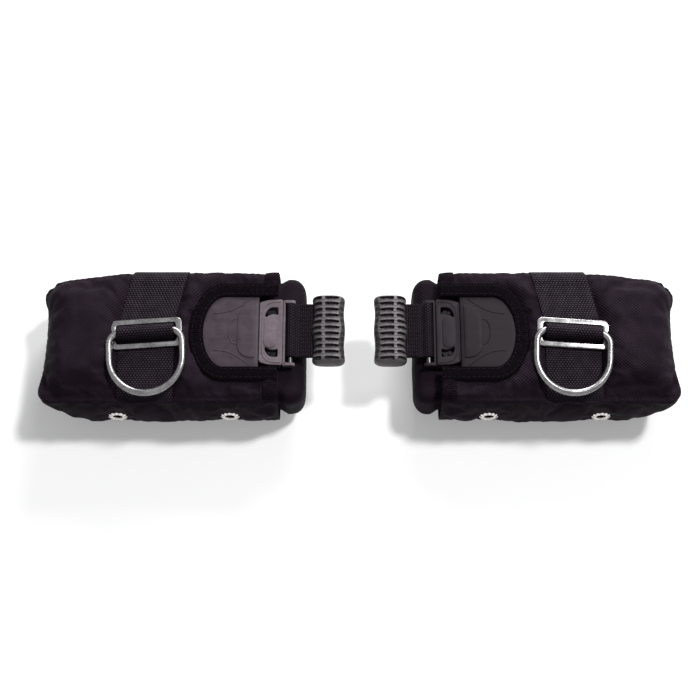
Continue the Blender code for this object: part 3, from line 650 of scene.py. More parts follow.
sleeveSizes = {
    "corner": 0.0085, "cornerCut": 0.0135, "endRound": 0.012, "seamHeight": 0.0019, "wall": 0.0016,
    "stations": 84, "front": 42, "gusset": 18, "back": 20, "bend": 7,
    "windowHalf": 0.0382, "windowEnd": 0.1428,
    "pressure": 9.0, "slack": -0.05, "frames": 20, "cap": 0.0060,
    "wave": 0.0013, "crease": 0.0006, "belly": 0.0048, "puff": 0.0054, "drop": 0.0048,
    # folds on the front panel: start, end, half width, height, where a valley is below zero
    "folds": (
        ((0.282, 0.034), (0.261, 0.056), 0.0045, -0.0058),
        ((0.281, -0.036), (0.259, -0.060), 0.0045, -0.0046),
        ((0.150, -0.038), (0.160, -0.061), 0.0045, 0.0016),
        ((0.112, -0.046), (0.086, -0.060), 0.0040, 0.0014),
        ((0.214, 0.046), (0.244, -0.004), 0.0065, -0.0012),
        ((0.215, -0.046), (0.262, -0.026), 0.0070, 0.0013),
        ((0.222, 0.020), (0.275, 0.008), 0.0080, 0.0010),
        ((0.152, 0.030), (0.146, 0.058), 0.0035, 0.0012),
        ((0.100, 0.050), (0.146, 0.060), 0.0040, -0.0010),
        ((0.118, -0.050), (0.150, -0.054), 0.0035, -0.0012),
    ),
}
tapeSizes = {"width": 0.0125, "half": 0.03895, "end": 0.14305, "thick": 0.0016, "lift": 0.0003,
             "tabShort": 0.0011, "tabFrom": 0.0405, "tabX": 0.0064, "tabThick": 0.0015}
strapSizes = {"x": 0.186, "width": 0.049, "thick": 0.0016, "tilt": math.radians(4)}
eyeletSpots = (0.114, 0.213)
eyeletZ = 0.030
endShares = (0.93, 0.84, 0.72, 0.58, 0.42, 0.26, 0.12, 0.0)  # rows of an end panel, in towards its middle


def ringParts(sizes):
    bend = sizes["bend"]
    gusset = sizes["gusset"]
    return (("front", sizes["front"]), ("frontTop", bend), ("top", gusset), ("backTop", bend),
            ("back", sizes["back"]), ("backLow", bend), ("low", gusset), ("frontLow", bend))


def boxRing(low, high, back, front, radius, sizes):
    # one turn round a rounded box in the Y Z plane, with the same points in every turn
    ring = []
    for part, count in ringParts(sizes):
        for i in range(count):
            t = i / count
            if part == "front":
                ring.append((low + radius + (high - low - 2 * radius) * t, front))
            elif part == "top":
                ring.append((high, front - radius - (front - back - 2 * radius) * t))
            elif part == "back":
                ring.append((high - radius - (high - low - 2 * radius) * t, back))
            elif part == "low":
                ring.append((low, back + radius + (front - back - 2 * radius) * t))
            else:
                cy = high - radius if "Top" in part else low + radius
                cz = front - radius if "front" in part else back + radius
                start = {"frontTop": 90, "backTop": 0, "backLow": 270, "frontLow": 180}[part]
                a = math.radians(start - 90 * t)
                ring.append((cy + radius * math.cos(a), cz + radius * math.sin(a)))
    return ring


def bagRows(x0, x1, lowY, highY, back, front, sizes, roundStart, roundEnd):
    rows = []
    radius = sizes["corner"]
    capSteps = 7
    stations = []
    turns = [math.pi / 2 * i / capSteps for i in range(1, capSteps + 1)]
    if roundStart:
        for a in reversed(turns):
            stations.append((x0 + roundStart * (1 - math.sin(a)), roundStart * (1 - math.cos(a))))
    count = sizes["stations"]
    for i in range(count + 1):
        stations.append((x0 + roundStart + (x1 - roundEnd - x0 - roundStart) * i / count, 0.0))
    if roundEnd:
        for a in turns:
            stations.append((x1 - roundEnd * (1 - math.sin(a)), roundEnd * (1 - math.cos(a))))
    for x, inset in stations:
        bend = max(0.003, radius - inset * 0.35)
        ring = boxRing(lowY + inset, highY(x) - inset, back + inset, front - inset, bend, sizes)
        rows.append([(x, y, z) for y, z in ring])
    ends = []
    if roundEnd:
        ends.append((rows[-1], x1, rows.append))
    if roundStart:
        ends.append((rows[0], x0, lambda row: rows.insert(0, row)))
    for edge, x, put in ends:
        middleY = sum(p[1] for p in edge) / len(edge)
        middleZ = sum(p[2] for p in edge) / len(edge)
        for share in endShares:
            put([(x, middleY + (p[1] - middleY) * share, middleZ + (p[2] - middleZ) * share) for p in edge])
    return rows


def swellCloth(piece, pins, sizes):
    start = [v.co.copy() for v in piece.data.vertices]
    held = piece.vertex_groups.new(name="held")
    for i, weight in enumerate(pins):
        held.add([i], weight, "REPLACE")
    cloth = piece.modifiers.new("swell", "CLOTH")
    cloth.settings.vertex_group_mass = "held"
    cloth.settings.pin_stiffness = 2.0
    cloth.settings.quality = 6
    cloth.settings.mass = 0.2
    cloth.settings.tension_stiffness = 12
    cloth.settings.compression_stiffness = 12
    cloth.settings.shear_stiffness = 4
    cloth.settings.bending_stiffness = 0.2
    cloth.settings.use_pressure = True
    cloth.settings.uniform_pressure_force = sizes["pressure"]
    cloth.settings.shrink_min = sizes["slack"]
    cloth.settings.effector_weights.gravity = 0
    cloth.collision_settings.use_collision = False
    cloth.point_cache.frame_start = 1
    cloth.point_cache.frame_end = sizes["frames"]
    for step in range(1, sizes["frames"] + 1):
        bpy.context.scene.frame_set(step)
    graph = bpy.context.evaluated_depsgraph_get()
    swollen = piece.evaluated_get(graph).to_mesh()
    ends = [v.co.copy() for v in swollen.vertices]
    piece.evaluated_get(graph).to_mesh_clear()
    piece.modifiers.remove(cloth)
    piece.vertex_groups.clear()
    bpy.context.scene.frame_set(1)
    moves = []
    for a, b in zip(start, ends):
        move = b - a
        if move.length > sizes["cap"]:
            move = move * (sizes["cap"] / move.length)
        moves.append(move)
    return moves


def tapeGap(x, y):
    # distance from the middle line of the window's tape, found on its straight arms and oval end
    half = tapeSizes["half"]
    reach = ovalShare * half
    turnX = tapeSizes["end"] - reach
    if x < turnX:
        return abs(abs(y - latchY) - half)
    size = math.hypot((x - turnX) / reach, (y - latchY) / half)
    return abs(size - 1) * (reach if abs(y - latchY) < 0.5 * half else half)


def sleevePin(x, y, z):
    if z < sleeveLow.z + 0.004 or x < mouthX + 0.003:
        return 1.0
    onStrap = abs(x - strapSizes["x"] - strapLean(y)) < strapSizes["width"] / 2 + 0.0008
    if onStrap and (z > frontBand or y > 0.03):
        return 1.0
    if z > frontBand and tapeGap(x, y) < tapeSizes["width"] / 2 + 0.0012 and y > -0.05:
        return 1.0
    if z > frontBand and insideTongue(x, y, tapeSizes["end"], tapeSizes["half"]):
        return 1.0
    if z > frontBand and x < mouthX + 0.0125:
        return 1.0
    if y < sleeveLow.y - 0.001:
        if any(math.hypot(x - spot, z - eyeletZ) < 0.0105 for spot in eyeletSpots):
            return 1.0
    if z > frontBand and (y > topEdge(x) - 0.004 or y < sleeveLow.y + 0.004):
        return 0.55
    if x > outerX - 0.004:
        return 0.35
    return 0.0


def tuckCorner(x, y, z):
    # the top outer corner is folded in, the bottom outer corner stands out as a small ear
    cut = sleeveSizes["cornerCut"]
    top = topEdge(x)
    high = smooth(0.030, 0.052, z)
    a = x - (outerX - cut)
    b = y - (top - cut)
    over = a + b - cut
    if a > 0 and b > 0 and over > 0:
        x -= over * 0.46
        y -= over * 0.46
    ear = bump(math.hypot(x - outerX, y - sleeveLow.y - 0.011), 0.011) * high
    brow = bump(math.hypot(x - outerX, y - top + cut + 0.001), 0.010) * high
    belly = math.sin(math.pi * min(1.0, max(0.0, (z - sleeveLow.z) / (frontZ - sleeveLow.z))) ** 0.62)
    lower = smooth(-0.035, sleeveLow.y, y)
    y -= sleeveSizes["belly"] * belly * lower * (1 - smooth(outerX - 0.03, outerX, x) * 0.8)
    waist = smooth(outerX - 0.014, outerX, x) * (1 - (2 * y / (sleeveHigh.y - sleeveLow.y)) ** 2)
    under = smooth(outerX - 0.052, outerX + 0.004, x) * smooth(-0.024, sleeveLow.y, y)
    under *= 1 - smooth(0.010, 0.054, z)
    y += 0.0085 * under  # the back's bottom corner is drawn in and up
    return x + 0.0016 * ear + 0.0030 * brow - 0.0034 * max(0.0, waist) - 0.0120 * under, y, z


sleeveRows = bagRows(mouthX, outerX, sleeveLow.y, topEdge, sleeveLow.z, frontZ, sleeveSizes,
                     0.0, sleeveSizes["endRound"])
sleeveRows = [[tuckCorner(*p) for p in row] for row in sleeveRows]
sleeveRing = len(sleeveRows[0])
sleeveRun = lengths([row[4] for row in sleeveRows])
sleeveAround = lengths(sleeveRows[20] + [sleeveRows[20][0]])
ringSeams = {}
spot = 0
for part, count in ringParts(sleeveSizes):
    ringSeams[part] = spot
    spot += count


def makeSleeve():
    mesh = bpy.data.meshes.new("sleeve_shell")
    shellRows = sleeveRows[:-1]  # the closing point has no size, so it stays out of the simulation
    points = [p for row in shellRows for p in row]
    faces = []
    for i in range(len(shellRows) - 1):
        for j in range(sleeveRing):
            k = (j + 1) % sleeveRing
            here = i * sleeveRing
            there = here + sleeveRing
            faces.append((here + j, here + k, there + k, there + j))
    mesh.from_pydata(points, [], faces)
    piece = bpy.data.objects.new("sleeve_shell", mesh)
    bpy.context.scene.collection.objects.link(piece)
    outward = sum(f.normal.dot(Vector((0, f.center.y, f.center.z - sleeveMidZ))) for f in mesh.polygons)
    if outward < 0:
        mesh.flip_normals()
    moves = swellCloth(piece, [sleevePin(*p) for p in points], sleeveSizes)
    bpy.data.objects.remove(piece)
    bpy.data.meshes.remove(mesh)
    middle = sum(moves[-sleeveRing:], Vector((0, 0, 0))) / sleeveRing
    moves += [middle] * sleeveRing
    panelRows = len(endShares)
    for inner in range(1, panelRows + 1):  # rows of the end panel settle to one move towards its middle
        start = (len(sleeveRows) - 1 - panelRows + inner) * sleeveRing
        for k in range(start, start + sleeveRing):
            moves[k] = moves[k].lerp(middle, inner / panelRows)
    return moves


sleeveMoves = makeSleeve()
print("sleeve cloth swollen, furthest", round(max(m.length for m in sleeveMoves) * 1000, 2), "mm")


def panelDrop(y):
    # the panel falls away to its bottom seam
    return sleeveSizes["drop"] * smooth(-0.016, sleeveLow.y + 0.004, y)


def frontPuff(x, y):
    # the panel stands up between the strap, the tape and the seams, and is pulled down beside them
    besideStrap = abs(x - strapSizes["x"] - strapLean(y)) - strapSizes["width"] / 2
    besideTape = tapeGap(x, y) - tapeSizes["width"] / 2
    seam = min(y - sleeveLow.y, topEdge(x) - y, outerX - x)
    if besideTape < 0 or insideTongue(x, y, tapeSizes["end"], tapeSizes["half"]):
        return 0.0
    drop = panelDrop(y)
    if besideStrap < 0:
        return -drop
    rise = (1 - math.exp(-besideStrap / 0.0055)) * (1 - math.exp(-besideTape / 0.0045))
    rise *= 0.25 + 0.75 * smooth(0.0, 0.020, seam)
    return (sleeveSizes["puff"] * rise - drop) * smooth(mouthX + 0.012, mouthX + 0.022, x)


def foldHeight(x, y):
    total = 0.0
    for start, end, width, height in sleeveSizes["folds"]:
        a = Vector(start)
        along = Vector(end) - a
        t = (Vector((x, y)) - a).dot(along) / along.length_squared
        if -0.15 < t < 1.15:
            off = (Vector((x, y)) - a - along * t).length
            total += height * bump(off, width) * smooth(-0.15, 0.2, t) * smooth(1.15, 0.8, t)
    return total


def sleeveMesh(seed):
    rows = []
    for i, row in enumerate(sleeveRows):
        made = []
        inner = max(0, i - len(sleeveRows) + 1 + len(endShares))  # which row of the end panel, if any
        for j, place in enumerate(row):
            x, y, z = Vector(place) + sleeveMoves[i * sleeveRing + j]
            free = (1.0 - min(1.0, sleevePin(*place))) * (1 - inner / len(endShares))
            outward = Vector((0, y, z - sleeveMidZ))
            wave = grain(x * 46, y * 30, z * 40, seed) + 0.5 * grain(x * 110, y * 70, z * 90, seed + 3)
            crease = grain(x * 60 + y * 50, y * 18, z * 30, seed + 6)
            lift = 0.0
            if place[2] > frontZ - 0.007:
                facing = smooth(frontZ - 0.007, frontZ - 0.001, place[2])
                lift = facing * (frontPuff(*place[:2]) + math.sqrt(free) * foldHeight(*place[:2]))
            roll = wave * sleeveSizes["wave"] + crease * sleeveSizes["crease"]
            made.append(Vector((x, y, z + lift)) + outward.normalized() * free * roll)
        for seam in ("frontTop", "frontLow", "backTop", "backLow"):
            j = ringSeams[seam] + sleeveSizes["bend"] // 2
            outward = (made[j] - Vector((made[j].x, 0, sleeveMidZ))).normalized()
            if inner < 2 and (sleevePin(*row[j]) < 1.0 or "back" in seam):
                made[j] += outward * sleeveSizes["seamHeight"]
        rows.append(made)
    mesh = gridMesh("sleeve_cloth", rows, True, False, False, lambda a, b: (sleeveRun[a], sleeveAround[b]))
    work = bmesh.new()
    work.from_mesh(mesh)
    gone = []
    for face in work.faces:
        c = face.calc_center_median()
        inWindow = insideTongue(c.x, c.y, sleeveSizes["windowEnd"], sleeveSizes["windowHalf"])
        inGusset = c.y < sleeveLow.y - 0.001
        drain = inGusset and any(math.hypot(c.x - s, c.z - eyeletZ) < 0.0048 for s in eyeletSpots)
        if (inWindow and c.z > frontBand) or drain:
            gone.append(face)
    bmesh.ops.delete(work, geom=gone, context="FACES")
    outward = 0.0
    for face in work.faces:
        c = face.calc_center_median()
        outward += face.normal.dot(Vector((0, c.y, c.z - sleeveMidZ)))
    if outward < 0:
        bmesh.ops.reverse_faces(work, faces=work.faces)
    work.to_mesh(mesh)
    work.free()
    return finishShell(mesh, sleeveSizes["wall"])


def finishShell(mesh, wall):
    maker = bpy.data.objects.new("shell_maker", mesh)
    bpy.context.scene.collection.objects.link(maker)
    softer = maker.modifiers.new("softer", "SUBSURF")
    softer.levels = 1
    softer.render_levels = 1
    thick = maker.modifiers.new("wall", "SOLIDIFY")
    thick.thickness = wall
    thick.offset = -1
    graph = bpy.context.evaluated_depsgraph_get()
    made = bpy.data.meshes.new_from_object(maker.evaluated_get(graph))
    bpy.data.objects.remove(maker)
    return made


for sideName, side in pocketSides.items():
    addPiece(f"{sideName}_sleeve_cloth", sleeveMesh(1 + side), side, f"{sideName}_pocket",
             sleeveCloth, [f"{sideName}_sleeve"], 60)
print("sleeves made")


# Binding tape round the window and along the mouth

def tapeMeshes(seed):
    sizes = tapeSizes
    top = frontZ + sizes["lift"] + sizes["thick"] / 2
    section = flatSection(sizes["width"], sizes["thick"], 14, 0.0005)
    line = tongue(mouthX + 0.0006, sizes["end"], sizes["half"], 60)
    path = []
    for x, y in line:
        path.append((x, y, top + 0.0006 * grain(x * 190, y * 190, 0, seed)))
    windowTape = bandMesh("window_tape", path, section)
    mouthTabs = []
    radius = sleeveSizes["corner"]
    tabSection = flatSection(sizes["width"], sizes["tabThick"], 10, 0.0004)
    for edge, way in ((topEdge(mouthX), 1), (sleeveLow.y, -1)):
        inside = latchY + way * sizes["tabFrom"]
        path = []
        for i in range(21):
            y = inside + (edge - way * sizes["tabShort"] - inside) * i / 20
            over = max(0.0, way * (y - edge) + radius)  # how far round the sleeve's corner
            bend = radius - math.sqrt(radius ** 2 - over ** 2)
            path.append((mouthX + sizes["tabX"] + 0.0004 * grain(y * 190, 1, 2, seed), y,
                         top - 0.0004 - bend + 0.0003 * grain(y * 160, 0, 4, seed)))
        mouthTabs.append(bandMesh("mouth_tape", path, tabSection))
    return windowTape, joinMeshes("tabs", mouthTabs)


def tapeStitchLines():
    lines = []
    top = frontZ + tapeSizes["lift"] + tapeSizes["thick"] + 0.0003
    for shift in (-0.0040, 0.0036):
        half = tapeSizes["half"] + shift
        end = tapeSizes["end"] + shift * 0.9
        lines.append([(x, y, top) for x, y in tongue(mouthX + 0.002, end, half, 60)])
    return lines


for sideName, side in pocketSides.items():
    body = f"{sideName}_pocket"
    windowTape, mouthTabs = tapeMeshes(side + 4)
    addPiece(f"{sideName}_mouth_tape", windowTape, side, body, mouthTape,
             [f"{sideName}_mouth_binding"], 60)
    addPiece(f"{sideName}_mouth_tabs", mouthTabs, side, body, tabCloth, (), 60)
    stitches(f"{sideName}_tape_stitches", tapeStitchLines(), side, body,
             {"Stitch length": 0.0030, "Gap": 0.0012, "Thread radius": 0.00032})
print("binding tape made")


# Strap: a length of webbing up the front, over the ring's bar and down the top gusset

strapPath = {"bar": -0.001, "barZ": 0.0734, "hump": 0.0049, "bend": 0.0026, "flat": 0.0651,
             "turnIn": 0.009, "turn": 0.0101, "turnZ": 0.0550, "side": 0.031}


def strapLine():
    sizes = strapPath
    flat = sizes["flat"]
    r = sizes["bend"]
    turn = sizes["turn"]
    lowTurn = sleeveLow.y + sizes["turnIn"]
    highTurn = topEdge(strapSizes["x"]) - sizes["turnIn"]
    low = sizes["bar"] - sizes["hump"]
    high = sizes["bar"] + sizes["hump"]
    line = []
    for i in range(9):
        a = math.radians(150 - 60 * i / 8)
        line.append((lowTurn + turn * math.cos(a), sizes["turnZ"] + turn * math.sin(a)))
    for i in range(1, 16):
        line.append((lowTurn + (low - r - lowTurn) * i / 15, flat))
    for i in range(1, 7):
        a = math.radians(-90 + 90 * i / 6)
        line.append((low - r + r * math.cos(a), flat + r + r * math.sin(a)))
    for i in range(1, 17):
        a = math.radians(180 - 180 * i / 16)
        line.append((sizes["bar"] + sizes["hump"] * math.cos(a), sizes["barZ"] + sizes["hump"] * math.sin(a)))
    for i in range(0, 7):
        a = math.radians(180 + 90 * i / 6)
        line.append((high + r + r * math.cos(a), flat + r + r * math.sin(a)))
    for i in range(1, 11):
        line.append((high + r + (highTurn - high - r) * i / 10, flat))
    for i in range(1, 9):
        a = math.radians(90 - 90 * i / 8)
        line.append((highTurn + turn * math.cos(a), sizes["turnZ"] + turn * math.sin(a)))
    for i in range(1, 9):
        line.append((highTurn + turn, sizes["turnZ"] - sizes["side"] * i / 8))
    return line


def strapPiece(line, seed):
    sizes = strapSizes
    section = flatSection(sizes["width"], sizes["thick"], 16)
    rows = []
    for i, (y, z) in enumerate(line):
        before = Vector((0, *line[max(0, i - 1)]))
        after = Vector((0, *line[min(len(line) - 1, i + 1)]))
        along = (after - before).normalized()
        up = Vector((1, 0, 0)).cross(along)
        held = bump(y - strapPath["bar"], 0.020) if z > 0.06 else 0.0
        row = []
        for a, b in section:
            spot = Vector((sizes["x"] + a + strapLean(y), y, z)) + up * b
            spot.y -= held * a * math.tan(sizes["tilt"])
            spot.z += 0.00025 * grain(spot.x * 90, spot.y * 90, spot.z * 90, seed) * (1 - held) - panelDrop(y)
            row.append(spot)
        rows.append(row)
    run = lengths([(0, y, z) for y, z in line])
    around = aroundSection(section)
    return gridMesh("strap", rows, True, False, True, lambda i, j: (around[j], run[i]))


wholeStrap = strapLine()
humpStart = 25  # the line is cut at both feet of the fold over the bar
humpEnd = 50
for sideName, side in pocketSides.items():
    pocket = f"{sideName}_pocket"
    slide = f"{sideName}_strap_slide"
    lowerLine = wholeStrap[:humpStart + 1]
    humpLine = wholeStrap[humpStart:humpEnd + 1]
    upperLine = wholeStrap[humpEnd:]
    lower = addPiece(f"{sideName}_strap_lower", strapPiece(lowerLine, side + 9), side, pocket,
                     strapWeb, [f"{sideName}_d_strap"], 60, False)
    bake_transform(lower)
    addPiece(f"{sideName}_strap_hump", strapPiece(humpLine, side + 9), side, slide,
             strapWeb, (), 60)
    upper = addPiece(f"{sideName}_strap_upper", strapPiece(upperLine, side + 9), side, pocket,
                     strapWeb, (), 60, False)
    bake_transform(upper)
    rows = []
    for y in (0.0470, 0.0492):
        rows.append([(strapSizes["x"] + strapLean(y) + 0.0225 * (i / 11 - 1), y, 0.0661) for i in range(23)])
    stitches(f"{sideName}_strap_stitches", rows, side, pocket,
             {"Stitch length": 0.0028, "Gap": 0.0010, "Thread radius": 0.00034})
print("straps made")


# Ring and slide, in polished stainless

ringSizes = {"bar": (strapSizes["x"], strapPath["bar"], strapPath["barZ"]), "half": 0.0316, "reach": 0.055,
             "corner": 0.010, "bow": 0.0316, "wire": 0.003}


def ringLine(sizes):
    half = sizes["half"]
    corner = sizes["corner"]
    bow = sizes["bow"]
    straight = sizes["reach"] - bow
    line = []
    for i in range(13):
        line.append((-half + corner + (2 * half - 2 * corner) * i / 12, 0.0))
    for i in range(1, 9):
        a = math.radians(90 - 90 * i / 8)
        line.append((half - corner + corner * math.cos(a), -corner + corner * math.sin(a)))
    line.append((half, -(straight + corner) / 2))
    for i in range(0, 37):
        a = math.radians(-180 * i / 36)
        line.append((bow * math.cos(a), -straight + bow * math.sin(a)))
    line.append((-half, -(straight + corner) / 2))
    for i in range(0, 8):
        a = math.radians(180 - 90 * i / 8)
        line.append((-half + corner + corner * math.cos(a), -corner + corner * math.sin(a)))
    return line


def leanMatrix(droop):
    return (Matrix.Translation(ringSizes["bar"]) @ Matrix.Rotation(-strapSizes["tilt"], 4, "Z")
            @ Matrix.Rotation(math.radians(droop), 4, "X"))


slideSizes = {"half": (0.0315, 0.0135), "slot": (0.026, 0.00325),
              "gap": 0.00525, "corner": 0.005, "edge": 0.0009}


def slideMesh(low, high):
    sizes = slideSizes
    outlines = [roundedBox(*sizes["half"], sizes["corner"])]
    for shift in (-1, 1):
        outlines.append([(x, y + shift * sizes["gap"]) for x, y in roundedBox(*sizes["slot"], 0.0022, 4)])
    return plateMesh("slide", outlines, low - high, 0.0, sizes["edge"])


for sideName, side in pocketSides.items():
    path = [(x, y, 0) for x, y in ringLine(ringSizes)]
    rows = sweepRows(path, roundSection(ringSizes["wire"], 24), True)
    mesh = gridMesh("ring", rows, True, True)
    mesh.transform(leanMatrix(3.5))
    addPiece(f"{sideName}_steel_ring", mesh, side, f"{sideName}_ring",
             stainless, [f"{sideName}_d_ring"], 80)
    slideLow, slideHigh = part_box(f"{sideName}_triglide")
    mesh = slideMesh(slideLow.z, slideHigh.z)
    middle = Vector((*ringSizes["bar"][:2], slideHigh.z))
    mesh.transform(Matrix.Translation(middle) @ Matrix.Rotation(-strapSizes["tilt"], 4, "Z"))
    addPiece(f"{sideName}_steel_slide", mesh, side, f"{sideName}_strap_slide",
             stainless, [f"{sideName}_triglide"], 50)
print("rings and slides made")


# Receiver plate: a domed tongue with a bare raised panel, a thumb mark and two styling lines

receiverSizes = {
    "x0": 0.0883, "x1": 0.1382, "half": 0.0341, "low": 0.0603, "top": 0.0640, "edge": 0.0013, "dome": 0.0009,
    "panel": (0.0917, 0.1070, 0.0243, 0.0118), "panelMid": 0.0994,
    # rising edge and face of the panel: how far in, as a share, and how high
    "panelTiers": ((0.0, -0.0006), (0.0, 0.00045), (0.016, 0.00080), (0.035, 0.00085),
                   (0.4, 0.00088), (0.8, 0.0009), (1.0, 0.0009)),
    "sweep": ((0.1275, 0.0172), (0.1236, 0.0174), (0.1198, 0.0178), (0.1160, 0.0186), (0.1123, 0.0199),
              (0.1092, 0.0214), (0.1063, 0.0231), (0.1040, 0.0247), (0.1018, 0.0263), (0.0985, 0.0286),
              (0.0955, 0.0308)),
}


def domedPlate(name, outline, low, top, edge, rise):
    # closed outline lofted up, over a rounded edge and in to the middle, with a rule for the face's height
    cx = sum(p[0] for p in outline) / len(outline)
    cy = sum(p[1] for p in outline) / len(outline)
    reach = max(math.hypot(x - cx, y - cy) for x, y in outline)
    tiers = [(0.0, low), (0.0, top - edge)]
    for i in range(1, 6):
        a = math.pi / 2 * i / 5
        tiers.append((edge * (1 - math.cos(a)), top - edge + edge * math.sin(a)))
    rows = []
    for shrink, z in tiers:
        share = 1 - shrink / reach
        rows.append([(cx + (x - cx) * share, cy + (y - cy) * share, z) for x, y in outline])
    start = 1 - edge / reach
    for share in (0.9, 0.8, 0.7, 0.58, 0.46, 0.34, 0.22, 0.1, 0.0):
        row = []
        for x, y in outline:
            px = cx + (x - cx) * start * share
            py = cy + (y - cy) * start * share
            row.append((px, py, top + rise(px, py)))
        rows.append(row)
    rows.insert(0, [(cx, cy, low)] * len(outline))
    return gridMesh(name, rows, True)


def receiverRise(x, y):
    sizes = receiverSizes
    inY = 1 - ((y - latchY) / sizes["half"]) ** 2
    fall = smooth(sizes["x1"], sizes["x0"] + 0.012, x)
    return sizes["dome"] * max(0.0, inY) * (0.25 + 0.75 * fall)


def panelOutline(x0, x1, half, cut, steps=6):
    # square at the mouth side, with large round corners on the other side
    line = [(x0, latchY - half)]
    for i in range(steps + 1):
        a = math.radians(-90 + 90 * i / steps)
        line.append((x1 - cut + cut * math.cos(a), latchY - half + cut + cut * math.sin(a)))
    for i in range(steps + 1):
        a = math.radians(90 * i / steps)
        line.append((x1 - cut + cut * math.cos(a), latchY + half - cut + cut * math.sin(a)))
    line.append((x0, latchY + half))
    for i in range(1, 10):
        line.append((x0, latchY + half - 2 * half * i / 10))
    return line


def bead(points, width, rise, surface):
    path = [(x, y, surface(x, y)) for x, y in points]
    section = [(width * math.cos(a), rise * math.sin(a)) for a in [math.pi * 2 * i / 8 for i in range(8)]]
    rows = sweepRows(path, section)
    return gridMesh("bead", rows, True, False, True)


def receiverMeshes():
    sizes = receiverSizes
    line = tongue(sizes["x0"], sizes["x1"], sizes["half"], 44)
    closing = [(sizes["x0"], latchY - sizes["half"] + 2 * sizes["half"] * i / 16) for i in range(1, 16)]
    surface = lambda x, y: sizes["top"] + receiverRise(x, y)
    meshes = [domedPlate("receiver", line + closing, sizes["low"] + 0.0015, sizes["top"],
                         sizes["edge"], receiverRise)]
    panel = panelOutline(*sizes["panel"])
    cx = sizes["panelMid"]
    rows = []
    for shrink, lift in sizes["panelTiers"]:
        row = []
        for x, y in panel:
            px = cx + (x - cx) * (1 - shrink)
            py = latchY + (y - latchY) * (1 - shrink)
            row.append((px, py, surface(px, py) + lift))
        rows.append(row)
    meshes.append(gridMesh("panel", rows, True))
    thumb = [(0.1078, latchY + 0.0118)]
    for i in range(17):
        a = math.radians(90 - 180 * i / 16)
        thumb.append((0.1086 + 0.0058 * math.cos(a), latchY + 0.0116 * math.sin(a)))
    thumb.append((0.1078, latchY - 0.0118))
    meshes.append(bead(thumb, 0.0005, 0.00045, surface))
    for way in (1, -1):
        meshes.append(bead([(x, latchY + way * y) for x, y in sizes["sweep"]], 0.0005, 0.00045, surface))
    return meshes


for sideName, side in pocketSides.items():
    # the right-hand plate gets the darker copy of the mould, as painted shade
    addPiece(f"{sideName}_receiver_plate", joinMeshes("receiver", receiverMeshes()), side,
             f"{sideName}_pocket", receiverGrey if side < 0 else receiverGreyPaintedShade,
             [f"{sideName}_receiver_cover"], 38)
print("receiver plates made")


# Latch plate with its two windows and a raised bare frame

latchSizes = {
    "x0": 0.0674, "x1": 0.0880, "half": 0.0308, "low": 0.0609, "high": 0.0636, "edge": 0.0006,
    "window": ((0.0714, 0.0158), (0.0745, 0.0166), (0.0769, 0.0166), (0.0795, 0.0157), (0.0827, 0.0136),
               (0.0829, 0.0165), (0.0816, 0.0195), (0.0796, 0.0219), (0.0766, 0.0232), (0.0714, 0.0231)),
    "frame": ((0.0690, 0.0284), (0.0730, 0.0283), (0.0770, 0.0278), (0.0812, 0.0263), (0.0838, 0.0232),
              (0.0850, 0.0190), (0.0853, 0.0100), (0.0853, 0.0)),
}


def cornered(points, radius, steps=5):
    # rounds every corner of a closed line
    made = []
    total = len(points)
    for i, point in enumerate(points):
        here = Vector(point)
        before = Vector(points[i - 1]) - here
        after = Vector(points[(i + 1) % total]) - here
        cut = min(radius, before.length * 0.45, after.length * 0.45)
        a = here + before.normalized() * cut
        b = here + after.normalized() * cut
        for s in range(steps + 1):
            t = s / steps
            made.append(tuple(a * (1 - t) ** 2 + here * 2 * t * (1 - t) + b * t * t))
    return made


def latchMeshes():
    sizes = latchSizes
    x0, x1, half = sizes["x0"], sizes["x1"], sizes["half"]
    outline = [(x0, -half), (x0, half), (x0 + 0.0126, half - 0.0005), (x1, half - 0.0030),
               (x1, -half + 0.0030), (x0 + 0.0126, -half + 0.0005)]
    outlines = [cornered([(x, latchY + y) for x, y in outline], 0.0024)]
    for way in (1, -1):
        outlines.append(cornered([(x, latchY + way * y) for x, y in sizes["window"]], 0.0012, 4))
    meshes = [plateMesh("latch", outlines, sizes["low"], sizes["high"], sizes["edge"])]
    surface = lambda x, y: sizes["high"]
    pad = []
    for i in range(13):
        a = math.radians(200 - 220 * i / 12)
        pad.append((0.0782 + 0.0058 * math.cos(a), latchY + 0.0090 + 0.0058 * math.sin(a)))
    pad += [(x, 2 * latchY - y) for x, y in reversed(pad)]
    meshes.append(plateMesh("pad", [pad], sizes["high"] - 0.0003, sizes["high"] + 0.00060, 0.0004))
    frame = [(x, latchY + y) for x, y in sizes["frame"]]
    frame += [(x, 2 * latchY - y) for x, y in reversed(frame[:-1])]
    meshes.append(bead(frame, 0.00055, 0.00048, surface))
    lip = [(x1 - 0.0010, latchY - half + 0.0045 + (2 * half - 0.009) * i / 20) for i in range(21)]
    meshes.append(bead(lip, 0.0007, 0.0006, surface))
    return meshes


for sideName, side in pocketSides.items():
    # the right-hand latch plate gets the darker copy of the mould, as painted shade
    addPiece(f"{sideName}_latch_plate", joinMeshes("latch", latchMeshes()), side, f"{sideName}_cartridge",
             latchGrey if side < 0 else latchGreyPaintedShade, [f"{sideName}_latch_cover"], 38)
print("latch plates made")


# Pull webbing, doubled round the bar and the grip's core

pullSizes = {"half": 0.025, "thick": 0.0014, "mid": 0.0595, "ply": 0.00078, "barX": 0.0605, "barEye": 0.0034,
             "coreX": 0.027, "coreEye": 0.0040, "from": 0.0550, "run": 0.0215,
             "rows": (0.0438, 0.0457, 0.0476, 0.0495, 0.0514)}


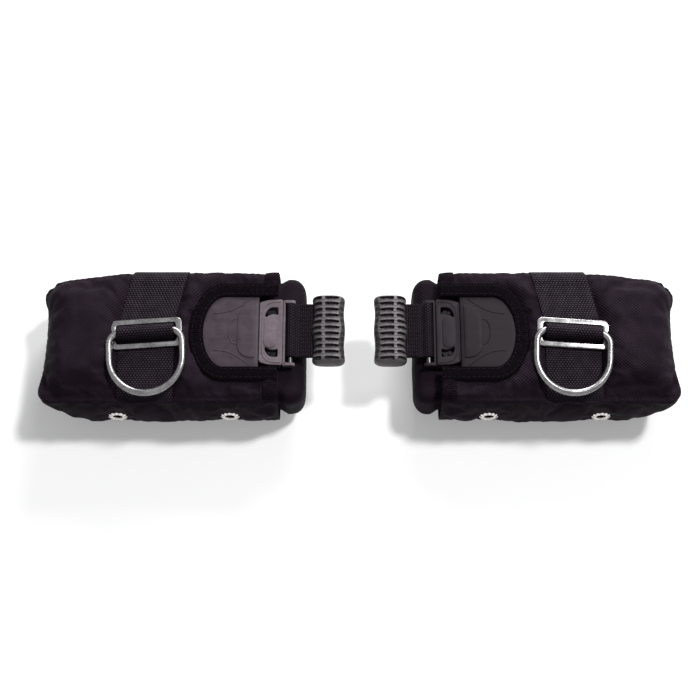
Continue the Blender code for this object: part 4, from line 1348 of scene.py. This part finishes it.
def pullLine(sizes):
    mid = sizes["mid"]
    barX = sizes["barX"]
    eye = sizes["barEye"]
    ply = sizes["ply"]
    line = []
    for i in range(17):
        a = math.radians(-115 + 230 * i / 16)
        line.append((barX + eye * math.cos(a), mid + eye * math.sin(a)))
    neck = []  # from the eye round the bar in to the two plies
    for i in range(1, 5):
        ease = smooth(0, 1, i / 4)
        neck.append((barX - 0.0015 - 0.0040 * i / 4, eye * 0.9 * (1 - ease) + ply * ease))
    line += [(x, mid + off) for x, off in neck]
    for i in range(1, 13):
        line.append((sizes["from"] - sizes["run"] * i / 12, mid + ply))
    for i in range(17):
        a = math.radians(60 + 240 * i / 16)
        line.append((sizes["coreX"] + sizes["coreEye"] * math.cos(a), mid + sizes["coreEye"] * math.sin(a)))
    for i in range(0, 13):
        line.append((sizes["from"] - sizes["run"] + sizes["run"] * i / 12, mid - ply))
    line += [(x, mid - off) for x, off in reversed(neck[:3])]
    return line


def pullMesh():
    line = pullLine(pullSizes)
    section = flatSection(2 * pullSizes["half"], pullSizes["thick"], 16)
    points = [Vector((x, 0, z)) for x, z in line]
    rows = []
    for i, (x, z) in enumerate(line):
        along = (points[(i + 1) % len(points)] - points[i - 1]).normalized()
        up = Vector((0, 1, 0)).cross(along)
        rows.append([Vector((x, handleY + a, z)) + up * b for a, b in section])
    run = lengths(points + points[:1])
    around = aroundSection(section)
    return gridMesh("pull", rows, True, True, False, lambda i, j: (around[j], run[i]))


for sideName, side in pocketSides.items():
    body = f"{sideName}_handle"
    addPiece(f"{sideName}_pull_band", pullMesh(), side, body, handleWeb,
             [f"{sideName}_pull_webbing"], 60)
    rows = []
    top = pullSizes["mid"] + pullSizes["ply"] + pullSizes["thick"] / 2 + 0.0002
    for x in pullSizes["rows"]:
        rows.append([(x, handleY - 0.0232 + 0.0464 * i / 20, top) for i in range(21)])
    stitches(f"{sideName}_pull_stitches", rows, side, body,
             {"Stitch length": 0.0026, "Gap": 0.0008, "Thread radius": 0.00042})
print("pull webbing made")


# Grip: a ribbed moulding with two columns of hollows

gripSizes = {"x0": 0.0126, "x1": 0.0416, "half": 0.0323, "thick": 0.0095, "mid": 0.0595,
             "pitch": 0.00562, "count": 11, "long": (-0.23, 0.66), "short": (-1.02, -0.44),
             "width": 0.00145, "deep": 0.0034, "wave": 0.0010, "waves": 1.06}


def gripMesh():
    sizes = gripSizes
    runSteps = 190
    aroundSteps = 128
    rows = []
    shade = []
    middleX = (sizes["x0"] + sizes["x1"]) / 2
    for i in range(runSteps + 1):
        t = -1 + 2 * i / runSteps
        y = sizes["half"] * t
        end = max(0.0, (abs(t) - 0.84) / 0.16)
        close = math.sqrt(max(0.0, 1 - end ** 2.3))
        swing = math.cos(2 * math.pi * t * sizes["waves"])
        row = []
        for j in range(aroundSteps):
            a = 2 * math.pi * j / aroundSteps
            ca = math.copysign(abs(math.cos(a)) ** 0.62, math.cos(a))
            sa = math.copysign(abs(math.sin(a)) ** 0.72, math.sin(a))
            halfX = (sizes["x1"] - sizes["x0"]) / 2 + sizes["wave"] * (swing - 1) * (0.5 if ca < 0 else 1.0)
            px = middleX + halfX * ca * (0.42 + 0.58 * close)
            pz = sizes["mid"] + sizes["thick"] * sa * (0.10 + 0.90 * close)
            c = -ca  # -1 at the webbing side, +1 at the mid plane side
            hollow = 0.0
            if abs(sa) > 0.30:
                nearest = round(y / sizes["pitch"])
                if abs(nearest) <= (sizes["count"] - 1) // 2:
                    off = abs(y - nearest * sizes["pitch"])
                    for low, high, thick in ((*sizes["long"], -1), (*sizes["short"], 1)):
                        place = (c - (low + high) / 2) / ((high - low) / 2)
                        if abs(place) < 1:
                            wide = sizes["width"] * (1 - abs(place) ** 6) ** 0.5 * (1 + 0.28 * thick * place)
                            hollow = max(hollow, 1 - smooth(wide * 0.72, wide * 1.12 + 0.0001, off))
            strip = smooth(0.0, 0.05, c - 0.70 - 0.06 * swing) * (1 - smooth(0.84, 0.90, abs(t)))
            rib = 0.00035 * math.cos(2 * math.pi * y / sizes["pitch"] + math.pi) * (1 - end)
            depth = sizes["deep"] * hollow + 0.0006 * strip - rib
            pz -= math.copysign(depth, sa) * min(1.0, abs(sa) * 1.4)
            row.append((px, handleY + y, pz))
            # painted shade: the slots and the mid-plane strip are stored here to darken the grip's colour
            shade.append(max(hollow, 0.93 * strip))
        rows.append(row)
    for k in (0, -1):
        cx = sum(p[0] for p in rows[k]) / aroundSteps
        tip = [(cx, rows[k][0][1], sizes["mid"])] * aroundSteps
        if k == 0:
            rows.insert(0, tip)
            shade = [0.0] * aroundSteps + shade
        else:
            rows.append(tip)
            shade += [0.0] * aroundSteps
    mesh = bpy.data.meshes.new("grip")
    total = len(rows)
    faces = []
    for i in range(total - 1):
        for j in range(aroundSteps):
            k = (j + 1) % aroundSteps
            here = i * aroundSteps
            there = here + aroundSteps
            faces.append((here + j, there + j, there + k, here + k))
    mesh.from_pydata([p for row in rows for p in row], [], faces)
    layer = mesh.attributes.new("hollow", "FLOAT", "POINT")
    for spotData, value in zip(layer.data, shade):
        spotData.value = value
    tidyMesh(mesh)
    return mesh


for sideName, side in pocketSides.items():
    addPiece(f"{sideName}_ribbed_grip", gripMesh(), side, f"{sideName}_handle",
             gripGrey, [f"{sideName}_grip"], 60)
print("grips made")


# Eyelets in the bottom gusset, with clenched petals

eyeletSizes = {"flange": 0.0076, "bore": 0.0042, "petals": 12, "ring": 0.0060}


def spunMesh(name, profile, steps=48):
    rows = []
    for i in range(steps):
        a = 2 * math.pi * i / steps
        rows.append([(r * math.cos(a), r * math.sin(a), h) for r, h in profile])
    return gridMesh(name, rows, True, True)


def petalMesh():
    rows = []
    for i in range(5):
        t = i / 4
        wide = 0.00130 * (1 - 0.30 * t)
        r = -0.0010 + 0.0032 * t
        h = 0.0015 - 0.0010 * t * t
        rows.append([(r, wide * s, h + k) for s, k in ((-1, 0.0), (0, 0.00022), (1, 0.0), (0, -0.0004))])
    return gridMesh("petal", rows, True, False, True)


def eyeletMesh(x):
    sizes = eyeletSizes
    bore = sizes["bore"]
    flange = sizes["flange"]
    profile = [(bore, -0.0012), (bore, 0.0004), (bore + 0.0006, 0.0012), (0.0054, 0.0014), (0.0063, 0.0011),
               (0.0071, 0.0006), (flange, 0.0002), (flange, -0.0003), (bore + 0.0009, -0.0003),
               (bore + 0.0006, -0.0012)]
    petals = runTree("petals", petalMesh(), eyeletPetals, {
        "Petals": sizes["petals"], "Ring radius": sizes["ring"], "Metal": nickel})
    whole = joinMeshes("eyelet", [spunMesh("flange", profile), petals])
    spot = (x, sleeveLow.y - sleeveSizes["belly"] * 0.90 - 0.0003, eyeletZ)
    whole.transform(Matrix.Translation(spot) @ Matrix.Rotation(math.radians(80), 4, "X"))
    return whole


for sideName, side in pocketSides.items():
    for which, x in zip(("inner", "outer"), eyeletSpots):
        addPiece(f"{sideName}_clenched_eyelet_{which}", eyeletMesh(x), side, f"{sideName}_pocket",
                 nickel, [f"{sideName}_eyelet_{which}"], 50)
print("eyelets made")


# Weight pouch and its flap, inside the sleeve

pouchSizes = {"corner": 0.009, "stations": 64, "front": 28, "gusset": 14, "back": 18, "bend": 6,
              "endRound": 0.013, "wave": 0.0009, "flare": 0.0040}


def pouchTop(x):
    return pouchHigh.y - taperDrop * smooth(taperX, outerX, x)


def pouchMesh(seed):
    sizes = pouchSizes
    rows = bagRows(pouchLow.x - 0.003, pouchHigh.x, pouchLow.y, pouchTop, pouchLow.z, pouchHigh.z, sizes,
                   sizes["endRound"], 0.006)
    made = []
    for row in rows:
        line = []
        for x, y, z in row:
            inward = Vector((0.156 - x if abs(x - 0.156) > 0.10 else 0, -y, 0.032 - z)).normalized()
            wave = 0.5 + 0.5 * grain(x * 60, y * 55, z * 55, seed)
            wave += 0.3 * grain(x * 140, y * 120, z * 120, seed + 2)
            flare = smooth(mouthX - 0.001, mouthX - 0.008, x)  # the end outside the mouth is fuller
            y += math.copysign(sizes["flare"] * flare * smooth(0.004, 0.040, abs(y)), y)
            z -= 0.0012 * flare * smooth(0.030, 0.012, z)
            line.append(Vector((x, y, z)) + inward * sizes["wave"] * max(0.0, wave))
        made.append(line)
    run = lengths([row[3] for row in made])
    middle = made[len(made) // 2]
    around = lengths(middle + middle[:1])
    return gridMesh("pouch", made, True, False, False, lambda a, b: (run[a], around[b]))


def flapMesh():
    low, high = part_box("right_pouch_flap")
    rows = []
    for i in range(17):
        v = -1 + 2 * i / 16
        rows.append([])
        for j in range(15):
            u = -1 + 2 * j / 14
            y = (low.y + high.y) / 2 + (high.y - low.y) / 2 * u * (1 - 0.03 * v * v)
            z = (low.z + high.z) / 2 + (high.z - low.z) / 2 * v * (1 - 0.04 * u * u)
            rows[-1].append((pouchHigh.x + 0.0006 + 0.0007 * (1 - u * u) * (1 - v * v), y, z))
    mesh = gridMesh("flap", rows, False, False, False, lambda a, b: (a * 0.003, b * 0.007))
    return finishShell(mesh, 0.0010)


for sideName, side in pocketSides.items():
    addPiece(f"{sideName}_pouch_bag", pouchMesh(side + 20), side, f"{sideName}_cartridge",
             pouchCloth, [f"{sideName}_weight_pouch"], 60)
    addPiece(f"{sideName}_flap_panel", flapMesh(), side, f"{sideName}_cartridge",
             pouchCloth, [f"{sideName}_pouch_flap"], 60)
print("pouches made")


# Sewn tape on the pouch: one length along each long edge and one across the closed end

seamSizes = {"width": 0.0075, "thick": 0.0009, "edge": 0.0125, "start": 0.092, "end": 0.256,
             "across": 0.236, "wide": 0.014}


def seamPaths():
    sizes = seamSizes
    z = pouchHigh.z - 0.0001
    upper = []
    lower = []
    for i in range(41):
        x = sizes["start"] + (sizes["end"] - sizes["start"]) * i / 40
        upper.append((x, pouchTop(x) - sizes["edge"], z))
        lower.append((x, pouchLow.y + sizes["edge"], z))
    cross = []
    for i in range(21):
        y = lower[0][1] + (pouchTop(sizes["across"]) - sizes["edge"] - lower[0][1]) * i / 20
        cross.append((sizes["across"], y, z + 0.0003))
    return upper, lower, cross


for sideName, side in pocketSides.items():
    meshes = []
    rows = []
    for path, width in zip(seamPaths(), (seamSizes["width"], seamSizes["width"], seamSizes["wide"])):
        meshes.append(bandMesh("seam", path, flatSection(width, seamSizes["thick"], 8)))
        for way in (-1, 1):
            off = way * (width / 2 - 0.0016)
            alongY = abs(path[-1][0] - path[0][0]) < 0.001
            rows.append([(x + off * alongY, y + off * (not alongY), z + 0.0006) for x, y, z in path])
    addPiece(f"{sideName}_pouch_seams", joinMeshes("seams", meshes), side, f"{sideName}_cartridge",
             mouthTape, (), 60)
    stitches(f"{sideName}_pouch_stitches", rows, side, f"{sideName}_cartridge",
             {"Stitch length": 0.0030, "Gap": 0.0012, "Thread radius": 0.00034})
print("pouch seams made")


# Belt loops on the back, webbing sewn down at both ends

loopSizes = {"spots": (0.115, 0.225), "width": 0.040, "reach": 0.043, "thick": 0.0018,
             "sewn": 0.009, "step": 0.006, "sewnZ": 0.0069, "loopZ": 0.0010}


def loopLine(sizes):
    turn = sizes["reach"] - sizes["sewn"]
    inner = turn - sizes["step"]
    line = []
    for i in range(7):
        line.append((-sizes["reach"] + sizes["sewn"] * i / 6, sizes["sewnZ"]))
    for i in range(1, 9):
        drop = (sizes["sewnZ"] - sizes["loopZ"]) * smooth(0, 1, i / 8)
        line.append((-turn + sizes["step"] * i / 8, sizes["sewnZ"] - drop))
    for i in range(1, 15):
        line.append((-inner + 2 * inner * i / 15, sizes["loopZ"]))
    line += [(-y, z) for y, z in reversed(line[:15])]
    return line


for sideName, side in pocketSides.items():
    rows = []
    for which, x in zip(("inner", "outer"), loopSizes["spots"]):
        path = [(x, y, z) for y, z in loopLine(loopSizes)]
        mesh = bandMesh("loop", path, flatSection(loopSizes["width"], loopSizes["thick"], 14))
        addPiece(f"{sideName}_web_loop_{which}", mesh, side, f"{sideName}_pocket", strapWeb,
                 [f"{sideName}_belt_loop_{which}"], 60)
        for way in (-1, 1):
            for y in (0.0365, 0.0388, 0.0411):
                rows.append([(x - 0.018 + 0.036 * i / 12, way * y, 0.0057) for i in range(13)])
    stitches(f"{sideName}_loop_stitches", rows, side, f"{sideName}_pocket",
             {"Stitch length": 0.0026, "Gap": 0.0008, "Thread radius": 0.00036})
print("belt loops made")


# Prong leaf: a thin bent spring; the real one closes up when the release is pulled, here it keeps one shape

leafSizes = {"mid": 0.0985, "ends": 0.1040, "half": 0.0192, "thick": 0.0006,
             "low": 0.0570, "high": 0.0588, "closed": 0.79}


def leafMesh():
    sizes = leafSizes
    path = []
    for i in range(25):
        share = i / 12 - 1
        x = sizes["mid"] + (sizes["ends"] - sizes["mid"]) * share ** 2
        path.append((x, latchY + sizes["half"] * share, (sizes["low"] + sizes["high"]) / 2))
    section = roundedBox(sizes["thick"] / 2, (sizes["high"] - sizes["low"]) / 2, 0.00015, 2)
    return bandMesh("leaf", path, section)


for sideName, side in pocketSides.items():
    leaf = addPiece(f"{sideName}_prong_leaf", leafMesh(), side, f"{sideName}_cartridge",
                    stainless, [f"{sideName}_prong_spring"], 40)
    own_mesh(leaf)
print("prong leaves made")


# CAD nodes that keep their shape get these finishes

keptFinishes = {
    "receiver_base": receiverGrey, "latch_body": blackMould, "prong_upper": blackMould,
    "prong_lower": blackMould, "prong_pin_upper": blackMould, "prong_pin_lower": blackMould,
    "pull_bar": barSteelAndWasherShade, "grip_core": blackMould, "lead_block_inner": leadSkin, "lead_block_outer": leadSkin,
    "eyelet_washer_inner": barSteelAndWasherShade, "eyelet_washer_outer": barSteelAndWasherShade,
# the washers take the dark bar steel as painted shade, since they sit inside the cloth wall
}
for sideName, side in pocketSides.items():
    # the right-hand slider gets the darker copy of the mould, as painted shade
    keptFinishes["release_slider"] = latchGrey if side < 0 else latchGreyPaintedShade
    for node, finish in keptFinishes.items():
        kept = frame["nodes"][f"{sideName}_{node}"]
        kept.data.materials.clear()
        kept.data.materials.append(finish)
print("kept nodes painted")


# Stage, light and camera

stageSizes = {"floor": 6.0, "camera": 1.10, "elevation": 70, "lens": 65.0,
              "target": (-0.0083, -0.0149, 0.064)}
scene = bpy.context.scene
scene.view_settings.view_transform = "Standard"


def seenMix(tree, plain, seen, output):
    # the plain shader lights the object, the other one is what the camera and bright metal see
    nodes = tree.nodes
    links = tree.links
    rays = nodes.new("ShaderNodeLightPath")
    either = nodes.new("ShaderNodeMath")
    either.operation = "MAXIMUM"
    links.new(rays.outputs["Is Camera Ray"], either.inputs[0])
    links.new(rays.outputs["Is Glossy Ray"], either.inputs[1])
    mixed = nodes.new("ShaderNodeMixShader")
    links.new(either.outputs[0], mixed.inputs["Fac"])
    links.new(plain.outputs[0], mixed.inputs[1])
    links.new(seen.outputs[0], mixed.inputs[2])
    links.new(mixed.outputs[0], nodes.new(output).inputs["Surface"])


floorMesh = bpy.data.meshes.new("floor")
half = stageSizes["floor"] / 2
floorCorners = [(-half, -half, 0), (half, -half, 0), (half, half, 0), (-half, half, 0)]
floorMesh.from_pydata(floorCorners, [], [(0, 1, 2, 3)])
floor = bpy.data.objects.new("floor", floorMesh)
scene.collection.objects.link(floor)
paper = bpy.data.materials.new("white_paper")
paper.use_nodes = True
paperNodes = paper.node_tree.nodes
paperLinks = paper.node_tree.links
paperNodes.clear()
plainPaper = paperNodes.new("ShaderNodeBsdfDiffuse")
plainPaper.inputs["Color"].default_value = (0.16, 0.16, 0.16, 1)
whitePaper = paperNodes.new("ShaderNodeBsdfDiffuse")
whitePaper.inputs["Color"].default_value = (0.96, 0.96, 0.96, 1)
glowPaper = paperNodes.new("ShaderNodeEmission")
liftPaper = paperNodes.new("ShaderNodeMixShader")
liftPaper.inputs["Fac"].default_value = 0.26
paperLinks.new(whitePaper.outputs[0], liftPaper.inputs[1])
paperLinks.new(glowPaper.outputs[0], liftPaper.inputs[2])
seenMix(paper.node_tree, plainPaper, liftPaper, "ShaderNodeOutputMaterial")
floorMesh.materials.append(paper)

world = bpy.data.worlds.new("studio")
scene.world = world
world.use_nodes = True
nodes = world.node_tree.nodes
nodes.clear()
soft = nodes.new("ShaderNodeBackground")
soft.inputs["Color"].default_value = (0.97, 0.98, 1.0, 1)
soft.inputs["Strength"].default_value = 0.29
white = nodes.new("ShaderNodeBackground")
white.inputs["Strength"].default_value = 1.0
seenMix(world.node_tree, soft, white, "ShaderNodeOutputWorld")


def areaLamp(name, place, target, size, power):
    lamp = bpy.data.lights.new(name, "AREA")
    lamp.shape = "SQUARE"
    lamp.size = size
    lamp.energy = power
    holder = bpy.data.objects.new(name, lamp)
    scene.collection.objects.link(holder)
    holder.location = place
    holder.rotation_euler = (Vector(target) - Vector(place)).to_track_quat("-Z", "Y").to_euler()


areaLamp("key_lamp", (1.75, 1.12, 3.60), (0, 0, 0.03), 0.55, 150)
areaLamp("fill_lamp", (0.25, 1.35, 0.70), (0, 0, 0.03), 0.7, 29)

target = Vector(stageSizes["target"])
lift = math.radians(stageSizes["elevation"])
lensData = bpy.data.cameras.new("camera")
lensData.type = "PERSP"
lensData.sensor_width = 36
lensData.lens = stageSizes["lens"]
camera = bpy.data.objects.new("camera", lensData)
scene.collection.objects.link(camera)
camera.location = target + stageSizes["camera"] * Vector((0, -math.cos(lift), math.sin(lift)))
camera.rotation_euler = (target - camera.location).to_track_quat("-Z", "Y").to_euler()
scene.camera = camera
print("stage set")
